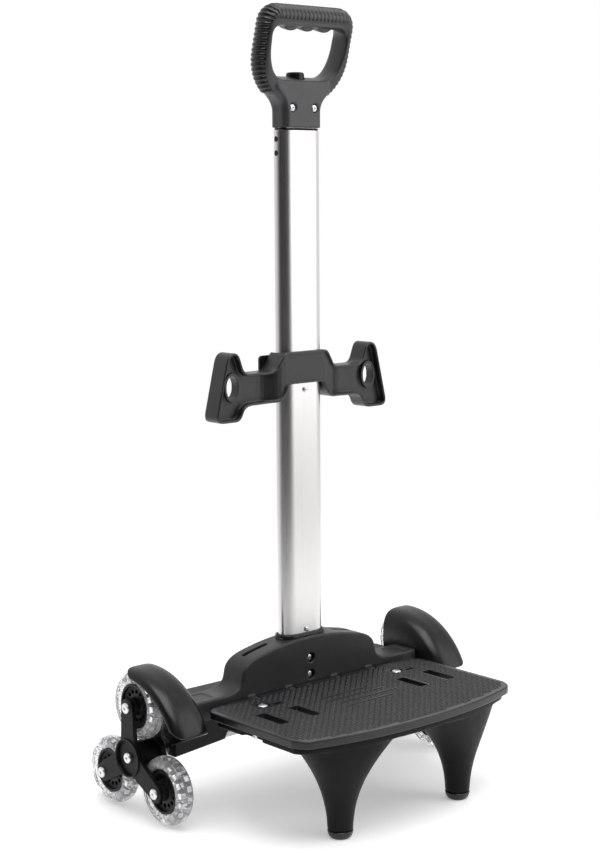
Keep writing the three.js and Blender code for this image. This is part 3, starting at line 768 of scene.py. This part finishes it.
def dense(outline, step=1.5):
    """The outline with its long sides split into short ones."""
    made = []
    for a, b in zip(outline, outline[1:] + outline[:1]):
        parts = max(1, round((b - a).length / step))
        made += [a.lerp(b, i / parts) for i in range(parts)]
    return made


def rim_bead(front, centre_front, near, far):
    """A round bead along the bracket's front edge."""
    outline = dense(butterfly())
    rings = []
    for k in range(10):
        turn = 2 * pi * k / 10
        ring = []
        for p in offset(outline, 1.3 * cos(turn) - 1.35):
            share = min(max((abs(p.x) - near) / (far - near), 0), 1)
            seat = centre_front + (front - centre_front) * share**2 * (3 - 2 * share)
            ring.append(xz(*p, seat + 0.5 + 1.3 * sin(turn)))
        rings.append(ring)
    return skin(rings, loop=True)


def make_bracket():
    z = (BRACKET_Z[0] - 10, BRACKET_Z[1] + 10)
    front, back = -10.5, 10
    body = prism(butterfly(), (BRACKET_Y[0] - 2, back), xz, 0)
    step = (front, BRACKET_Y[0] + 0.8, 30, 46)
    body = common(body, prism(plan_band(*step, back - 0.01), z, xy))
    tray = prism(offset(butterfly(), -2.3), (-30, 30), xz)
    air = prism(list(reversed(plan_band(front + 7, BRACKET_Y[0] + 2.6, 27, 60, -40))), z, xy)
    tools = [common(tray, air), prism(oval(*MAST_PASSAGE), z, xy)]
    tools.append(box((-MAST_PASSAGE[0], MAST_PASSAGE[0]), (0, 20), z))
    for sign in SIGNS:
        pocket = rounded(sorted((sign * 44, sign * 76)), (414, 437), 3)
        tools.append(opening(pocket, (2, back), xz, (0, 1)))
        wing = box(sorted((sign * 80, sign * 120)), (0, 30), z)
        tools.append(common(wing, prism(offset(butterfly(), -2.6), (4, 20), xz)))
    body = cut(body, *tools)
    eyes = [(sign * EYE[0], EYE[1]) for sign in SIGNS]
    for eye in eyes:
        body = merged(body, prism(ring_of((10.2, 14.6), eye, 40), (front + 3.4, 4), xz))
    holes = [prism(ring_of((7.4, 11.8), eye, 40), (-20, 20), xz) for eye in eyes]
    body = moulded(joined(cut(body, *holes), rim_bead(*step)), 0.5, 2)
    piece("bag_bracket", body, "bracket", "base")

    x, y, z = extent("bracket_clamp")
    holes = []
    for side, sign in SIDES:
        screw_z = middle(extent("bracket_screw_" + side)[2])
        holes.append(rod(2.4, (5, 20), "y", (sign * 36, screw_z), 24))
    plate = cut(prism(rounded(x, z, 4), y, xz, 0.8), *holes)
    piece("bracket_clamp", plate, "dark", "base")
    for side, _ in SIDES:
        screw("bracket_screw_" + side, 4, 2.3, "y", 1, "base", 2)


# ---- foot plate


def plate_outline(inset=0.0):
    """Plan of the plate, as in the frame: straight sides, round corners and a bowed front."""
    w, front, corner = PLATE_X[1] - inset, PLATE_Y[0] + inset, -174.5 + inset
    back = HINGE[0] - inset
    half = drawn(
        (0, front), [(72, front), (w - 17, corner + 1), 12],
        [(w - 4, corner + 4.6), (w, corner + 20 - inset), 10],
        (w, back - 16), [(w, back), (w - 22, back), 8], (0, back),
    )
    return mirrored(half)


def strap_slots(grow=0.0):
    """Outlines of the four strap slots."""
    made = []
    for sign in SIGNS:
        for x, y in (((111, 120), (-110, -72)), ((70.5, 79), (-110, -74.5))):
            span = sorted((sign * x[0], sign * x[1]))
            made.append(rounded((span[0] - grow, span[1] + grow), (y[0] - grow, y[1] + grow), 1 + grow))
    return made


def centre_lines():
    """The long thin ribs in the middle of the plate, as (x span, y) pairs."""
    return [((-34, 22), -74), ((-38, 38), -86), ((-30, 46), -98), ((-34, 30), -110)]


def pad_is_free(x, y, zone, slots, bolts):
    if not holds(zone, x, y) or any(holds(slot, x, y) for slot in slots):
        return False
    if any(hypot(x - bx, y - by) < 11 for bx, by in bolts):
        return False
    if any(bx + 6.5 < x < bx + 22 and abs(y - by + 4.7) < 5.2 for bx, by in bolts):
        return False
    return not any(a - 2.5 < x < b + 2.5 and abs(y - at) < 2.9 for (a, b), at in centre_lines())


def add_pad(bm, x, y, top, long_x):
    """One low cushion of the tread. Its foot is sunk in the plate."""
    wide, deep = (2.05, 1.3) if long_x else (1.3, 2.05)
    rings = []
    for share, z in ((1.0, top - 0.4), (1.0, top + 0.1), (0.75, top + 0.5), (0.35, top + 0.68)):
        rings.append([(*p, z) for p in ring_of((wide * share, deep * share), (x, y), 8)])
    add_skin(bm, rings)


def make_tread(top, bolts):
    """The woven tread: cushions that lie across and along in turn, and the ribs in the middle."""
    zone = offset(plate_outline(), -6.5)
    slots = strap_slots(3.2)
    pitch = 3.9
    bm = bmesh.new()
    for row in range(int((zone[0].y - 3) / pitch), int(HINGE[0] / pitch)):
        for column in range(int(-PLATE_X[1] / pitch), int(PLATE_X[1] / pitch) + 1):
            x, y = column * pitch, row * pitch - 4
            if y < -31 and pad_is_free(x, y, zone, slots, bolts):
                add_pad(bm, x, y, top, (row + column) % 2 == 0)
    for span, y in centre_lines():
        rows = [(1.1, top - 0.4), (1.1, top + 0.3), (0.6, top + 0.75)]
        rings = []
        for half, z in rows:
            outline = rounded((span[0] - half, span[1] + half), (y - half, y + half), half * 0.9)
            rings.append([(*p, z) for p in outline])
        add_skin(bm, rings)
    return finished(bm)


def make_plate():
    top = -CAP_Z[0] + 112
    thick = 8
    bolts = [(sign * PLATE_BOLT[0], PLATE_BOLT[1]) for sign in SIGNS]
    slab = prism(plate_outline(), (top - thick, top), xy, 1.5, 4)
    knuckle = lathe([(3.4, -118), (4, -117.4), (4, 117.4), (3.4, 118)], "x", HINGE, 24)
    slab = merged(slab, knuckle)
    tools = [opening(slot, (top - thick, top), xy, (0.6, 0.9)) for slot in strap_slots(1.4)]
    tools.append(rod(2.3, (-89, 89), "x", HINGE, 24))
    for x, y in bolts:
        tools.append(prism(ring_of(2.8, (x, y)), (90, 120), xy))
        tools.append(opening(ring_of(7, (x, y), 40), (top - 2, top), xy, (0, 0.7)))
        slit = rounded((x + 9.5, x + 19), (y - 7, y - 2.4), 0.9)
        tools.append(opening(slit, (top - 4, top), xy, (0, 0.4)))
    for sign in SIGNS:
        for x in LUGS_X:
            span = sorted((sign * x - 4.6, sign * x + 4.6))
            tools.append(box(span, (HINGE[0] - 4.9, 0), (90, 125)))
    slab = cut(slab, *tools)
    tread = make_tread(top, bolts)
    piece("foot_plate", joined(slab, tread), "plate", "foot_plate")
    for side, _ in SIDES:
        screw("plate_bolt_" + side, 5, 2.3, "z", 1, "foot_plate", 2.5)


def room_inside(outline, centre, angle):
    """Distance from a point inside an outline to its edge."""
    far = centre + 500 * Vector((cos(angle), sin(angle)))
    hits = [intersect_line_line_2d(centre, far, a, b) for a, b in zip(outline, outline[1:] + outline[:1])]
    return min((hit - centre).length for hit in hits if hit)


def leg_mesh(outline, centre, low, top):
    """The right leg: nearly straight at the foot, it opens like a horn and melts into the deck's edge."""
    tip = CAP_X[1] - middle(CAP_X)
    turns = [2 * pi * i / 64 for i in range(64)]
    room = [room_inside(outline, centre, turn) for turn in turns]
    rings = []
    for k in range(29):
        z = low + (top - low) * k / 28
        share = min(z / (top - 6), 1)
        ring = []
        for turn, wall in zip(turns, room):
            inward = max(0.0, -cos(turn))
            horn = tip - 0.3 + 36 * share**2.3 + 14 * inward * share**4
            radius = (horn**-5 + wall**-5) ** (-1 / 5)
            ring.append((centre.x + radius * cos(turn), centre.y + radius * sin(turn), z))
        rings.append(ring)
    return skin(rings)


def make_legs():
    top = DECK_Z[1]
    under = top - 7
    leg = Vector((middle(CAP_X), middle(CAP_Y)))
    outline = plate_outline(5)
    deck = cut(prism(outline, (under, top), xy), box((-200, 200), (-36, 0), (80, 120)))
    legs = [on_side(leg_mesh(outline, leg, DECK_Z[0], top - 0.3), sign) for sign in SIGNS]
    body = merged(deck, *legs)
    tools = []
    for sign in SIGNS:
        window = sorted((sign * 67, sign * 124))
        tools.append(box(window, (-113, -66), (84, 120), 3))
        tools.append(prism(ring_of(2.8, (sign * PLATE_BOLT[0], PLATE_BOLT[1]), 24), (90, 110), xy))
        pocket = sorted((sign * (PLATE_X[1] - 9), sign * (PLATE_X[1] + 2)))
        tools.append(box(pocket, (-107, -78), (under - 1, top + 1)))
    body = moulded(cut(body, *tools), 1.15, 5)
    piece("leg_frame", body, "leg", "foot_plate")

    for side, sign in SIDES:
        name = "foot_cap_" + side
        profile = [(6.5, 0.6), (7, 0), (8.6, 0), (9.8, 0.5), (11.2, 2.2), (12.2, 4.2), (12.7, 6.2)]
        profile += [(12.8, CAP_Z[1] - 0.5), (12.3, CAP_Z[1])]
        made = lathe(profile, "z", (sign * leg[0], leg[1]), 48)
        piece(name, made, "rubber", "foot_plate")
        screw("deck_screw_" + side, 3, 1.6, "x", sign, "foot_plate")


# ---- handle


def lean(mesh):
    """From the loop's own plane to its place, leaning forward about the pivot line."""
    return moved(mesh, Matrix.Translation((0, 0, LOOP_Z)) @ Matrix.Rotation(LOOP_LEAN, 4, "X"))


def bar_outline():
    """Middle line of the bar, from the heel on the right over the top to the left, closed along the heel."""
    side, top, r = LOOP_HALF_W - BAR_R, LOOP_TOP - BAR_R, 20 - BAR_R
    half = drawn((0, -6), (33, -6), [(side, 7), (side, 28), 16])
    half += arc((side - r, top - r), r, 0, 90, 16) + points((0, top))
    return mirrored(half)


def loop_core():
    """The loop's core: an oval bar that lies under the grip's grooves and comes flush where the grip ends."""
    outline = bar_outline()
    rings = []
    for k in range(-12, 13):
        turn = radians(77 * k / 12)
        sunk = 0.35 + 1.7 * max(0.0, 1 - (turn / 1.1) ** 2)
        grown = offset(outline, BAR_R * cos(turn) - sunk)
        rings.append([xz(*p, BAR_DEPTH * sin(turn)) for p in grown])
    return skin(rings)


def finger_outline():
    half = drawn(
        (0, HEEL), (23, HEEL), [(37, HEEL), (43, HEEL + 12), 10], [(48.5, HEEL + 23), (48.5, 41), 8],
        [(48.5, 54), (36, 54), 10], (20, 54), (0, 54),
    )
    return mirrored(half)


def flared_opening():
    """The finger opening, wider at both faces: most at the top bar and at the back of the heel."""
    outline = finger_outline()
    normals = [out - here for here, out in zip(outline, offset(outline, 1))]
    rings = []
    for k in range(-9, 10):
        share = max(-1.0, min(k / 8, 1.0))
        depth = share * BAR_DEPTH if abs(k) < 9 else share * 20
        flare = 1 - sqrt(1 - share**2)
        heel = 5.0 if k > 0 else 0.5
        ring = []
        for here, normal in zip(outline, normals):
            grown = 1.4 + 6.5 * max(normal.y, 0) + heel * max(-normal.y, 0)
            ring.append(xz(*(here + normal * grown * flare), depth))
        rings.append(ring)
    return skin(rings)


def neck_mesh():
    """The neck, round at its corners and square at its foot, whose shoulders run up under the grip."""
    half = drawn(
        (0, 675), (25.3, 675), (25.3, 703), [(26, 711), (33, 717), 6],
        [(40, 723), (42, 731), (40, 745), 8], (0, 745),
    )
    neck = prism(mirrored(half), (-BAR_DEPTH, BAR_DEPTH), xz, 7, 7)
    return cut(neck, box((-40, 40), (-20, 20), (660, NECK_FOOT)))


def make_handle_frame():
    body = merged(lean(loop_core()), neck_mesh())
    body = cut(body, lean(flared_opening()))
    bumps = []
    for u in (-22, 0, 22):
        bumps.append(lean(prism(ring_of((10, 6.4), (u, 57), 24), (-6.5, 8), xz, 3)))
    body = merged(body, *bumps)
    tools = [prism(oval(TUBE_X[1] + 0.3, TUBE_Y[1] + 0.3), (680, TUBE_Z[1] + 0.3), xy)]
    button = (0, middle(BUTTON_Y))
    tools.append(prism(ring_of(BUTTON_X[1] + 0.5, button), (718, LOOP_Z + 20), xy))
    tools.append(prism(ring_of(6.8, button), (709, 719), xy))
    for sign in SIGNS:
        tools.append(prism(ring_of(4.7, (sign * 14.7, 706)), (-20, -BAR_DEPTH + 2.4), xz))
    body = moulded(cut(body, *tools), 0.75, 4)
    piece("handle_frame", body, "handle", "handle")
    for side, _ in SIDES:
        screw("handle_screw_" + side, 3.7, 1.6, "y", -1, "handle")


def grip_path():
    """Middle line of the bar, from the left heel over the top to the right heel, in even steps."""
    side = [p for p in bar_outline() if p.x > 32]
    right = side + points((0, LOOP_TOP - BAR_R))
    line = [Vector((-p.x, p.y)) for p in right] + list(reversed(right[:-1]))
    step, made, carried = 0.42, [line[0]], 0.0
    for a, b in zip(line, line[1:]):
        length, at = (b - a).length, step - carried
        while at <= length:
            made.append(a.lerp(b, at / length))
            at += step
        carried = length - (at - step)
    return made, step


def make_grip():
    """The ribbed overmould: a shell round the outer half of the bar, grooved across with a slight twist."""
    path, step = grip_path()
    last = len(path) - 1
    pitch, groove, wall, arms = 5.1, 1.5, 2.2, 24
    rings, travelled, edge = [], 0.0, None
    for i, here in enumerate(path):
        along = (path[min(i + 2, last)] - path[max(i - 2, 0)]).normalized()
        out = Vector((-along.y, along.x))
        wrap = 64 + 36 * max(out.y, 0.0) ** 1.5
        before, edge = edge, here + out * BAR_R * 0.8
        travelled += (edge - before).length if before else 0
        ends = min(1.0, min(i, last - i) * step / 2.5)
        ring = []
        for k in range(arms + 1):
            turn = radians(wrap * (2 * k / arms - 1))
            phase = travelled / pitch + 0.45 * sin(turn)
            fade = min(1.0, (wrap - abs(degrees(turn))) / 12)
            depth = groove * abs(cos(pi * phase)) ** 4 * fade + 0.9 * (1 - ends) ** 2
            radius, reach = BAR_R - depth, BAR_DEPTH - depth
            p = here + out * radius * cos(turn)
            ring.append(xz(*p, reach * sin(turn)))
        for k in range(arms, -1, -2):
            turn = radians(wrap * (2 * k / arms - 1))
            p = here + out * (BAR_R - wall) * cos(turn)
            ring.append(xz(*p, (BAR_DEPTH - wall) * sin(turn)))
        rings.append(ring)
    grip = lean(skin(rings))
    piece("handle_grip", grip, "rubber", "handle", sharp=60)


def make_inner_tube():
    tube = drawn_tube(oval, TUBE_X[1], TUBE_Y[1], TUBE_Z, 1.2, 0.2, 16)
    tube = cut(tube, rod(3.3, (0, 12), "y", (0, middle(extent("lock_pin")[2])), 24))
    piece("inner_tube", tube, "aluminium", "handle")

    nose = extent("lock_pin")
    profile = [(3, nose[1][0]), (3, nose[1][1] - 1), (2, nose[1][1])]
    pin = lathe(profile, "y", (0, middle(nose[2])), 28)
    piece("lock_pin", pin, "steel", "lock_pin")

    low, high = BUTTON_Z
    r = BUTTON_X[1]
    profile = [(4.2, low), (4.2, low + 7), (6.3, low + 7), (6.3, low), (r - 0.4, low), (r, low + 0.4)]
    profile += [(r, high - 2.2), (r - 0.5, high - 0.9), (r - 1.7, high - 0.1)]
    profile += [(r - 3, high), (r - 4.5, high - 0.35), (1, high - 0.6)]
    button = lathe(profile, "z", (0, middle(BUTTON_Y)), 48)
    piece("release_button", button, "smooth", "release_button")


# ---- three-wheel clusters


def star_outline():
    """Polar outline of three arms, tapered to round ends and blended into the hub."""
    hub_r, root, tip, soft = 20, 12.5, 9.5, 3.5
    made = []
    taper = (root - tip) / STAR_R
    for i in range(144):
        angle = 360 * i / 144
        away = radians(abs((angle - 90 + 60) % 120 - 60))
        side = root / max(sin(away) + taper * cos(away), 1e-6)
        inside = tip**2 - (STAR_R * sin(away)) ** 2
        if inside > 0:
            side = min(side, STAR_R * cos(away) + sqrt(inside))
        blend = max(0.0, 1 - abs(side - hub_r) / soft)
        reach = max(side, hub_r) + soft * blend**2 / 4
        made.append(polar(HUB, reach, radians(angle)))
    return made


def wheel_places():
    turns = [pi / 2 + 2 * pi * i / 3 for i in range(3)]
    return [(HUB[0] + STAR_R * cos(a), HUB[1] + STAR_R * sin(a)) for a in turns]


def make_star(side, sign):
    name, body = "star_outer_" + side, "star_" + side
    face = OUTER_X[1] - 1.5
    plate = prism(star_outline(), (OUTER_X[0], face), yz, 0.8)
    ring = [(20, face - 3), (20, OUTER_X[1] - 0.6), (19.6, OUTER_X[1] - 0.1), (19, OUTER_X[1])]
    ring += [(18.1, OUTER_X[1] - 0.2), (17.6, OUTER_X[1] - 0.8), (17.2, face - 1.9), (17.2, face - 3)]
    plate = cut(plate, rod(17.6, (face - 2, face + 3), "x", HUB, 64))
    rim = lathe(ring, "x", HUB, 64, loop=True)
    plate = merged(plate, rim)
    tools = [rod(BOLT_BORE, (190, 210), "x", HUB, 24)]
    for place in wheel_places():
        tools.append(opening(ring_of(BOLT_BORE, place, 24), (OUTER_X[0], face), yz, (0, 0.4)))
    made = on_side(cut(plate, *tools), sign)
    piece(name, made, "star", body)

    name = "star_inner_" + side
    flat = (INNER_X[0], INNER_X[0] + 6)
    plate = prism(star_outline(), flat, yz, 0.8)
    profile = [(16.5, flat[1] - 1), (15, flat[1] + 1.5), (15, INNER_X[1] - 0.8), (14.2, INNER_X[1])]
    barrel = lathe(profile, "x", HUB, 48)
    plate = merged(plate, barrel)
    tools = [rod(AXLE_BORE, (160, 196.9), "x", HUB, 32)]
    tools.append(rod(BOLT_BORE, (190, 210), "x", HUB, 24))
    tools += [rod(BOLT_BORE, (160, 175), "x", place, 24) for place in wheel_places()]
    made = on_side(cut(plate, *tools), sign)
    piece(name, made, "dark", body)


def bolt_head(seat, top, radius, centre):
    """A low domed head with a hexagon socket."""
    rise = top - seat
    profile = [(radius, seat), (radius, seat + rise * 0.55), (radius * 0.95, seat + rise * 0.8)]
    profile += [(radius * 0.85, seat + rise * 0.96), (radius * 0.7, top), (radius * 0.2, top)]
    socket = prism(ring_of(radius * 0.3, centre, 6), (top - rise * 0.3, top + 1), yz)
    return cut(lathe(profile, "x", centre, 40), socket)


def make_bolts(side, sign):
    body = "star_" + side
    for i, place in enumerate(wheel_places()):
        name = "wheel_bolt_%s_%d" % (side, i + 1)
        x = [abs(v) for v in extent(name)[0]]
        low, high = min(x), max(x)
        shank = lathe([(3.6, low), (4, low + 0.4), (4, OUTER_X[1] - 2)], "x", place, 24)
        made = merged(shank, bolt_head(OUTER_X[1] - 1.3, high, 5.5, place))
        piece(name, on_side(made, sign), "steel", body)
    name = "hub_bolt_" + side
    x = sorted(abs(v) for v in extent(name)[0])
    made = bolt_head(x[0], x[1], 5.5, HUB)
    piece(name, on_side(made, sign), "steel", "base")


def core_mesh(x):
    """The wheel's core about the x axis: hub, holed web and rim."""
    mid, reach = middle(x), (x[1] - x[0]) / 2
    half = [(4.4, -reach), (8.2, -reach), (8.8, 0.6 - reach), (8.8, -5), (9.8, -4.2), (18.2, -3.8)]
    half += [(19.3, -4.6), (19.6, -6.6), (20.2, -7.3), (22.2, -7.3), (22.7, -6.8)]
    profile = [(r, mid + s) for r, s in half] + [(r, mid - s) for r, s in reversed(half)]
    core = lathe(profile, "x", (0, 0), 72, loop=True)
    holes, count, circle = [], 14, 14.6
    for i in range(count):
        turn = 2 * pi * (i + 0.5) / count
        place = (circle * cos(turn), circle * sin(turn))
        holes.append(opening(ring_of(2.1, place, 16), (mid - 4, mid + 4), yz, (0.5, 0.5)))
    return cut(core, joined(*holes))


def tyre_mesh(x, inner):
    """The clear tyre about the x axis: a round tread over two rows of square hollows open to the rim."""
    mid, half = middle(x), (x[1] - x[0]) / 2
    shoulder = inner + 2.2
    profile = [(inner, mid - half + 2.4)]
    for k in range(21):
        turn = pi * k / 20
        r = shoulder + (WHEEL_R - shoulder) * sin(turn) ** 0.8
        profile.append((r, mid - half * cos(turn)))
    profile.append((inner, mid + half - 2.4))
    cells, count = [], 18
    for i in range(count):
        for way in (-1, 1):
            turn = radians(360 / count * (i + way * 0.25))
            span = sorted((mid + way * 0.9, mid + way * 5.6))
            cells.append(moved(box(span, (-2.9, 2.9), (20, 29.6), 0.3), Matrix.Rotation(turn, 4, "X")))
    return cut(lathe(profile, "x", (0, 0), 96, loop=True), joined(*cells))


def make_wheels(side, sign):
    x = extent("wheel_core_right_1")[0]
    for i, place in enumerate(wheel_places()):
        key = "%s_%d" % (side, i + 1)
        shift = Matrix.Translation((0, *place))
        core = on_side(moved(core_mesh(x), shift), sign)
        piece("wheel_core_" + key, core, "dark", "wheel_" + key)
        tyre = on_side(moved(tyre_mesh(TYRE_X, 23.3), shift), sign)
        piece("tyre_" + key, tyre, "clear", "wheel_" + key)


def finish_cad_nodes():
    """The hidden pieces that keep their CAD shape get their finish."""
    for name, finish in (("inner_plug", "dark"), ("push_rod", "steel"), ("button_spring", "steel")):
        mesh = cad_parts[name].data
        mesh.materials.clear()
        mesh.materials.append(FINISH[finish])


# ---- camera, light and floor

# Tones of the room from behind the trolley (0) to behind the photographer (1)
TO_PHOTOGRAPHER = (-0.66, -0.75, 0.0)
ROOM_TONES = ((0.0, 0.95), (0.5, 0.75), (0.73, 0.2), (0.88, 0.02))


def make_camera():
    place = (-1.17499, -1.31062, 0.62339)
    turn, tilt, roll = 0.717, 0.135, -0.007
    forward = Vector((sin(turn) * cos(tilt), cos(turn) * cos(tilt), -sin(tilt)))
    flat_right = Vector((cos(turn), -sin(turn), 0))
    flat_up = flat_right.cross(forward)
    right = flat_right * cos(roll) + flat_up * sin(roll)
    up = flat_up * cos(roll) - flat_right * sin(roll)
    data = bpy.data.cameras.new("camera")
    data.lens = 73.3
    data.sensor_width = 36
    camera = placed("camera", data)
    basis = Matrix((right, up, -forward)).transposed().to_4x4()
    camera.matrix_world = Matrix.Translation(place) @ basis
    bpy.context.scene.camera = camera


def make_floor():
    radius, depth, centre = 1.2, 0.02, (0.24, 0.26)
    floor = skin([[(*p, z) for p in ring_of(radius, centre, 96)] for z in (-depth, 0)])
    obj = placed("floor", floor)
    made = Nodes("pale_floor")
    made.tint(made.noise(3, 2), (0.86, 0.86, 0.865), (0.88, 0.88, 0.885))
    made.roughness(made.noise(20, 2), 0.5, 0.6)
    made.set(Specular_IOR_Level=0.2, Emission_Color=(1, 1, 1, 1), Emission_Strength=0.35)
    floor.materials.append(made.material)
    obj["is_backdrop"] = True


def softbox(name, place, target, size, power):
    data = bpy.data.lights.new(name, "AREA")
    data.shape = "RECTANGLE"
    data.size, data.size_y = size
    data.energy = power
    obj = placed(name, data)
    aim = Vector(target) - Vector(place)
    obj.matrix_world = Matrix.Translation(place) @ aim.to_track_quat("-Z", "Y").to_matrix().to_4x4()
    obj.visible_camera = False


def make_world():
    """A pale room that fades from white behind the trolley to dark behind the photographer."""
    world = bpy.data.worlds.new("studio")
    bpy.context.scene.world = world
    world.use_nodes = True
    tree = world.node_tree
    toward = add_node(tree, "VectorMath", add_node(tree, "TexCoord").outputs["Generated"], 0)
    toward.operation = "DOT_PRODUCT"
    toward.inputs[1].default_value = TO_PHOTOGRAPHER
    share = add_node(tree, "MapRange", toward.outputs["Value"], "Value", From_Min=-1)
    fade = add_node(tree, "ValToRGB", share.outputs["Result"], "Fac")
    ramp = fade.color_ramp
    while len(ramp.elements) < len(ROOM_TONES):
        ramp.elements.new(0.5)
    for stop, (position, tone) in zip(ramp.elements, ROOM_TONES):
        stop.position = position
        stop.color = (tone, tone, tone, 1)
    room = tree.nodes["Background"]
    backdrop = add_node(tree, "Background", Color=(1, 1, 1, 1))
    mix = add_node(tree, "MixShader", add_node(tree, "LightPath").outputs["Is Camera Ray"], "Fac")
    tree.links.new(fade.outputs["Color"], room.inputs["Color"])
    tree.links.new(room.outputs["Background"], mix.inputs[1])
    tree.links.new(backdrop.outputs["Background"], mix.inputs[2])
    tree.links.new(mix.outputs["Shader"], tree.nodes["World Output"].inputs["Surface"])


def make_lights():
    softbox("overhead", (-0.35, -0.55, 2.35), (0, 0, 0.2), (1.8, 1.8), 42)
    softbox("front_right", (1.42, -1.8, 1.25), (0, 0, 0.7), (1.75, 2.4), 20)
    bpy.context.scene.view_settings.view_transform = "Standard"


# ---- the trolley

make_camera()
make_floor()
make_world()
make_lights()

make_housing()
make_carrier()
make_mast()
make_bracket()
make_plate()
make_legs()
make_handle_frame()
make_grip()
make_inner_tube()
for SIDE, SIGN in SIDES:
    make_fender(SIDE, SIGN)
    make_star(SIDE, SIGN)
    make_bolts(SIDE, SIGN)
    make_wheels(SIDE, SIGN)
finish_cad_nodes()


def plain(value):
    """A box of vectors as lists of numbers."""
    return [plain(v) for v in value] if hasattr(value, "__len__") else float(value)


{"cad": plain(CAD_BOX), "visual": plain(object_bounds())}
